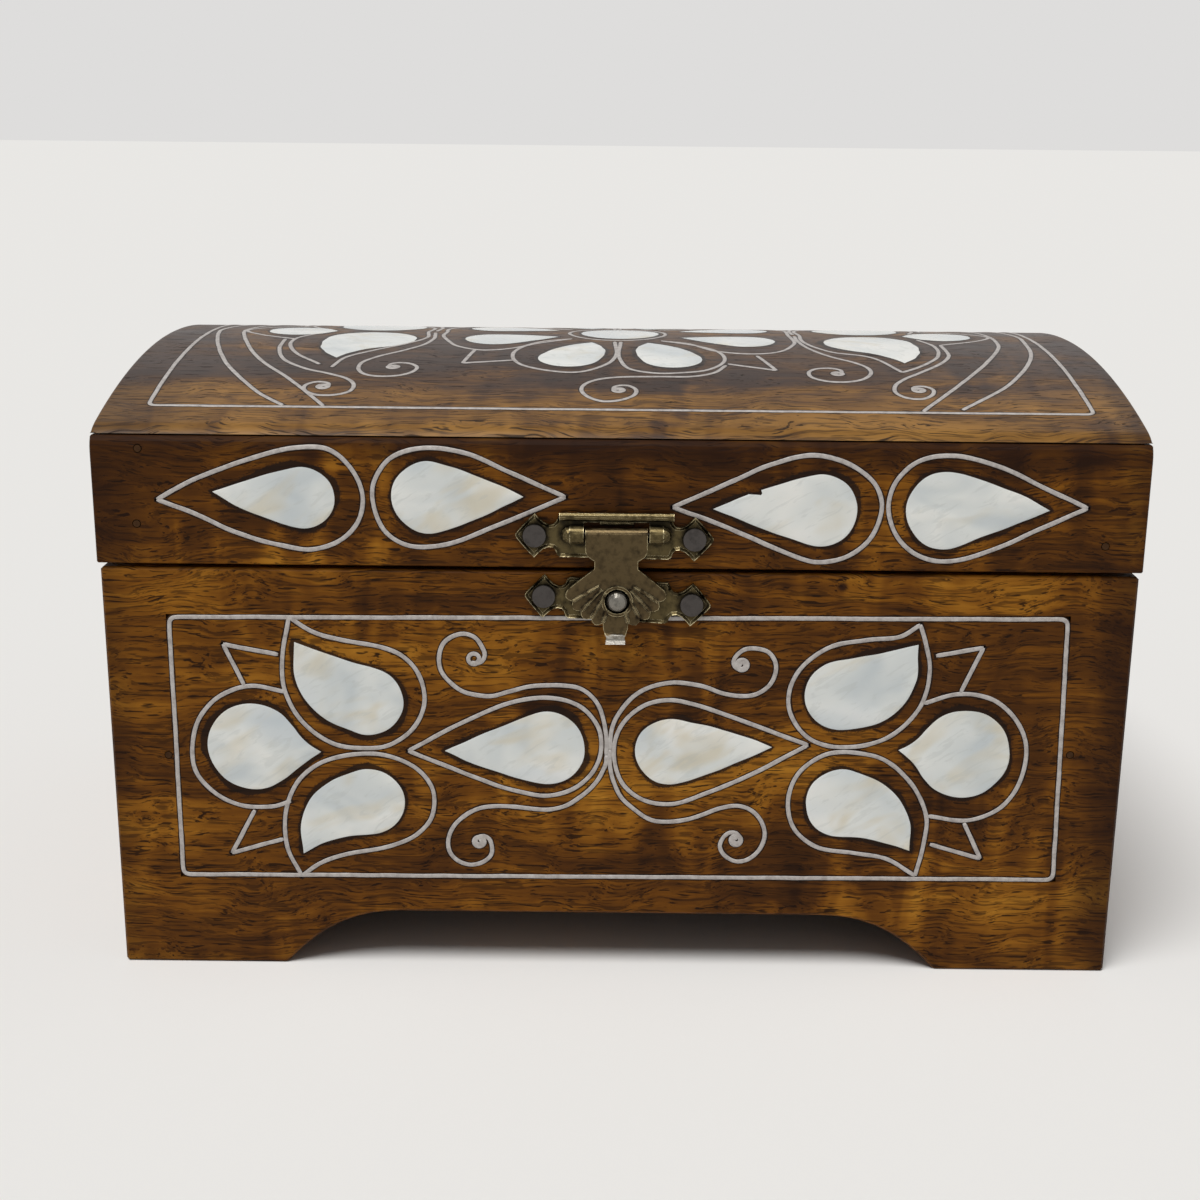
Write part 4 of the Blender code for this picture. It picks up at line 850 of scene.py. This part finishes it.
def add_wires(label, strokes, surface, body, wood, border=None, covers=()):
    """All the wires of one face as one piece, and the dark cuts they lie in as another."""
    wires = bmesh.new()
    grooves = bmesh.new()
    stain = grooves.verts.layers.float.new("stain")
    lines = [(points, False) for points in strokes]
    if border:
        lines.append((rounded(border), True))
    for seed, (points, closed) in enumerate(lines):
        lay_wire(wires, surface, points, seed + 1, closed)
        lay_groove(grooves, stain, surface, points, seed + 1, closed)
    piece = new_piece(f"{label}_wires", wires, WIRE, body)
    if covers:
        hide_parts(*covers)
    new_piece(f"{label}_wire_edges", grooves, wood, body)


def add_petals(label, prefix, surface, out, body, wood):
    stains = bmesh.new()
    stain = stains.verts.layers.float.new("stain")
    for seed, node in enumerate(sorted(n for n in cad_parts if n.startswith(prefix))):
        edge = hand_cut(node, out, seed + 1)
        add_shell(node, edge, surface, body, SHELL)
        lay_cement(stains, stain, edge, surface, seed + 1)
    new_piece(f"{label}_cement", stains, wood, body)


FACING_FRONT = Vector((0, -1, 0))
FACING_UP = Vector((0, 0, 1))
FRONT_LINES = FRONT_STROKES + tuple(with_eye(*scroll) for scroll in FRONT_SCROLLS)
TOP_EDGE = TOP_BORDER + tuple(reversed(far_side(TOP_BORDER)))
add_wires("front", [metres(s) for s in FRONT_LINES], on_front, "carcass", FRONT_WOOD,
          metres(FRONT_BORDER), ["front_border_wire"])
add_wires("lid_front", [metres(s) for s in LID_STROKES], on_lid, "lid", LID_WOOD)
add_wires("dome", [over_dome(s) for s in top_strokes()], on_dome, "lid", DOME_WOOD,
          over_dome(TOP_EDGE), ["top_border_wire"])
add_petals("front", "pearl_front", on_front, FACING_FRONT, "carcass", FRONT_WOOD)
add_petals("lid_front", "pearl_lid", on_lid, FACING_FRONT, "lid", LID_WOOD)
add_petals("dome", "pearl_top", on_dome, FACING_UP, "lid", DOME_WOOD)


# Domed board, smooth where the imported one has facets
def dome_profile():
    """Half the section of the domed board, from its front lower corner to the crest."""
    low = math.asin((DOME_LOW.z - ROLL_Z) / ROLL_R)
    high = math.atan2(ROLL_Z - DOME_C, DOME_HALF - ROLL_R)
    out = []
    for k in range(11):
        turn = low + (high - low) * k / 10
        out.append((LID_Y + ROLL_R * (1 - math.cos(turn)), ROLL_Z + ROLL_R * math.sin(turn)))
    start = out[-1][0]
    for k in range(1, 37):
        v = start + (DOME_MID_Y - start) * k / 36
        out.append((v, on_dome(0, v).z))
    return out


def add_dome():
    """The board as a row of sections, with its upper edges rounded at both ends."""
    half = DOME_HIGH.x
    front = dome_profile()
    back = [(2 * DOME_MID_Y - y, z) for y, z in reversed(front[:-1])]
    left = [(-half, DOME_EASE), (-half + DOME_EASE * 0.4, DOME_EASE * 0.25), (-half + DOME_EASE, 0.0)]
    right = [(-x, inset) for x, inset in reversed(left)]
    rings = []
    for x, inset in left + right:
        ring = []
        for y, z in front + back:
            ease = min(1.0, (z - DOME_LOW.z) / DOME_EASE)
            ring.append((x, y, z - inset * ease))
        rings.append(ring)
    bm = bmesh.new()
    loft(bm, rings)
    piece = new_piece("lid_dome", bm, DOME_WOOD, "lid")
    piece.data.set_sharp_from_angle(angle=SHARP_ANGLE)
    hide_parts("lid_top_board")


add_dome()


# Studio
SUN_LIGHT = 2.5
SUN_ANGLE = math.radians(32)
SUN_FROM = Vector((-0.20, -0.36, 1.0))
SKY_LIGHT = 0.27
FLOOR_HALF = 40.0
FLOOR_COLOUR = srgb(240, 239, 237)
BACKDROP_COLOUR = srgb(222, 221, 220)

# Camera, as the photograph was taken
PHOTO_PX = 1200
FOCAL_PX = 1717.5
SENSOR = 36.0
CAMERA_AT = Vector((-0.00202, FRONT_Y - 0.25593, 0.1305))
PITCH, YAW, ROLL = math.radians(15.0), math.radians(-0.202), math.radians(-0.547)


def add_camera():
    data = bpy.data.cameras.new("camera")
    data.sensor_width = SENSOR
    data.lens = FOCAL_PX / PHOTO_PX * SENSOR
    data.clip_start = 0.01
    forward = Vector((math.sin(YAW) * math.cos(PITCH), math.cos(YAW) * math.cos(PITCH), -math.sin(PITCH)))
    right = Vector((math.cos(YAW), -math.sin(YAW), 0))
    down = forward.cross(right)
    right2 = math.cos(ROLL) * right + math.sin(ROLL) * down
    down2 = -math.sin(ROLL) * right + math.cos(ROLL) * down
    turn = Matrix((right2, -down2, -forward)).transposed().to_4x4()
    ob = bpy.data.objects.new("camera", data)
    bpy.context.scene.collection.objects.link(ob)
    ob.matrix_world = Matrix.Translation(CAMERA_AT) @ turn
    bpy.context.scene.camera = ob


def add_stage():
    """A pale floor, and a world that is pale to the eye and a soft even light to the box."""
    bm = bmesh.new()
    bmesh.ops.create_grid(bm, x_segments=2, y_segments=2, size=FLOOR_HALF)
    mesh = bpy.data.meshes.new("floor")
    bm.to_mesh(mesh)
    bm.free()
    floor = bpy.data.objects.new("floor", mesh)
    bpy.context.scene.collection.objects.link(floor)
    g = Graph("pale_floor")
    mesh.materials.append(g.finish(Base_Color=FLOOR_COLOUR, Roughness=1.0, Specular_IOR_Level=0.0))

    world = bpy.data.worlds.new("studio")
    bpy.context.scene.world = world
    world.use_nodes = True
    tree = world.node_tree
    back = tree.nodes["Background"]
    path = tree.nodes.new("ShaderNodeLightPath")
    direct = tree.nodes.new("ShaderNodeMath")
    direct.operation = "MAXIMUM"
    tree.links.new(path.outputs["Is Camera Ray"], direct.inputs[0])
    tree.links.new(path.outputs["Is Glossy Ray"], direct.inputs[1])
    level = tree.nodes.new("ShaderNodeMapRange")
    tree.links.new(direct.outputs[0], level.inputs[0])
    level.inputs[3].default_value = SKY_LIGHT
    level.inputs[4].default_value = 1.0
    tree.links.new(level.outputs[0], back.inputs["Strength"])
    back.inputs["Color"].default_value = BACKDROP_COLOUR


def add_sun():
    """One very soft lamp, high in front and a little to the left, even over the whole floor."""
    data = bpy.data.lights.new("soft_sun", "SUN")
    data.energy = SUN_LIGHT
    data.angle = SUN_ANGLE
    data.color = (1.0, 0.995, 0.985)
    ob = bpy.data.objects.new("soft_sun", data)
    bpy.context.scene.collection.objects.link(ob)
    ob.rotation_euler = SUN_FROM.to_track_quat("Z", "Y").to_euler()


add_camera()
add_stage()
add_sun()
bpy.context.scene.view_settings.view_transform = "Standard"
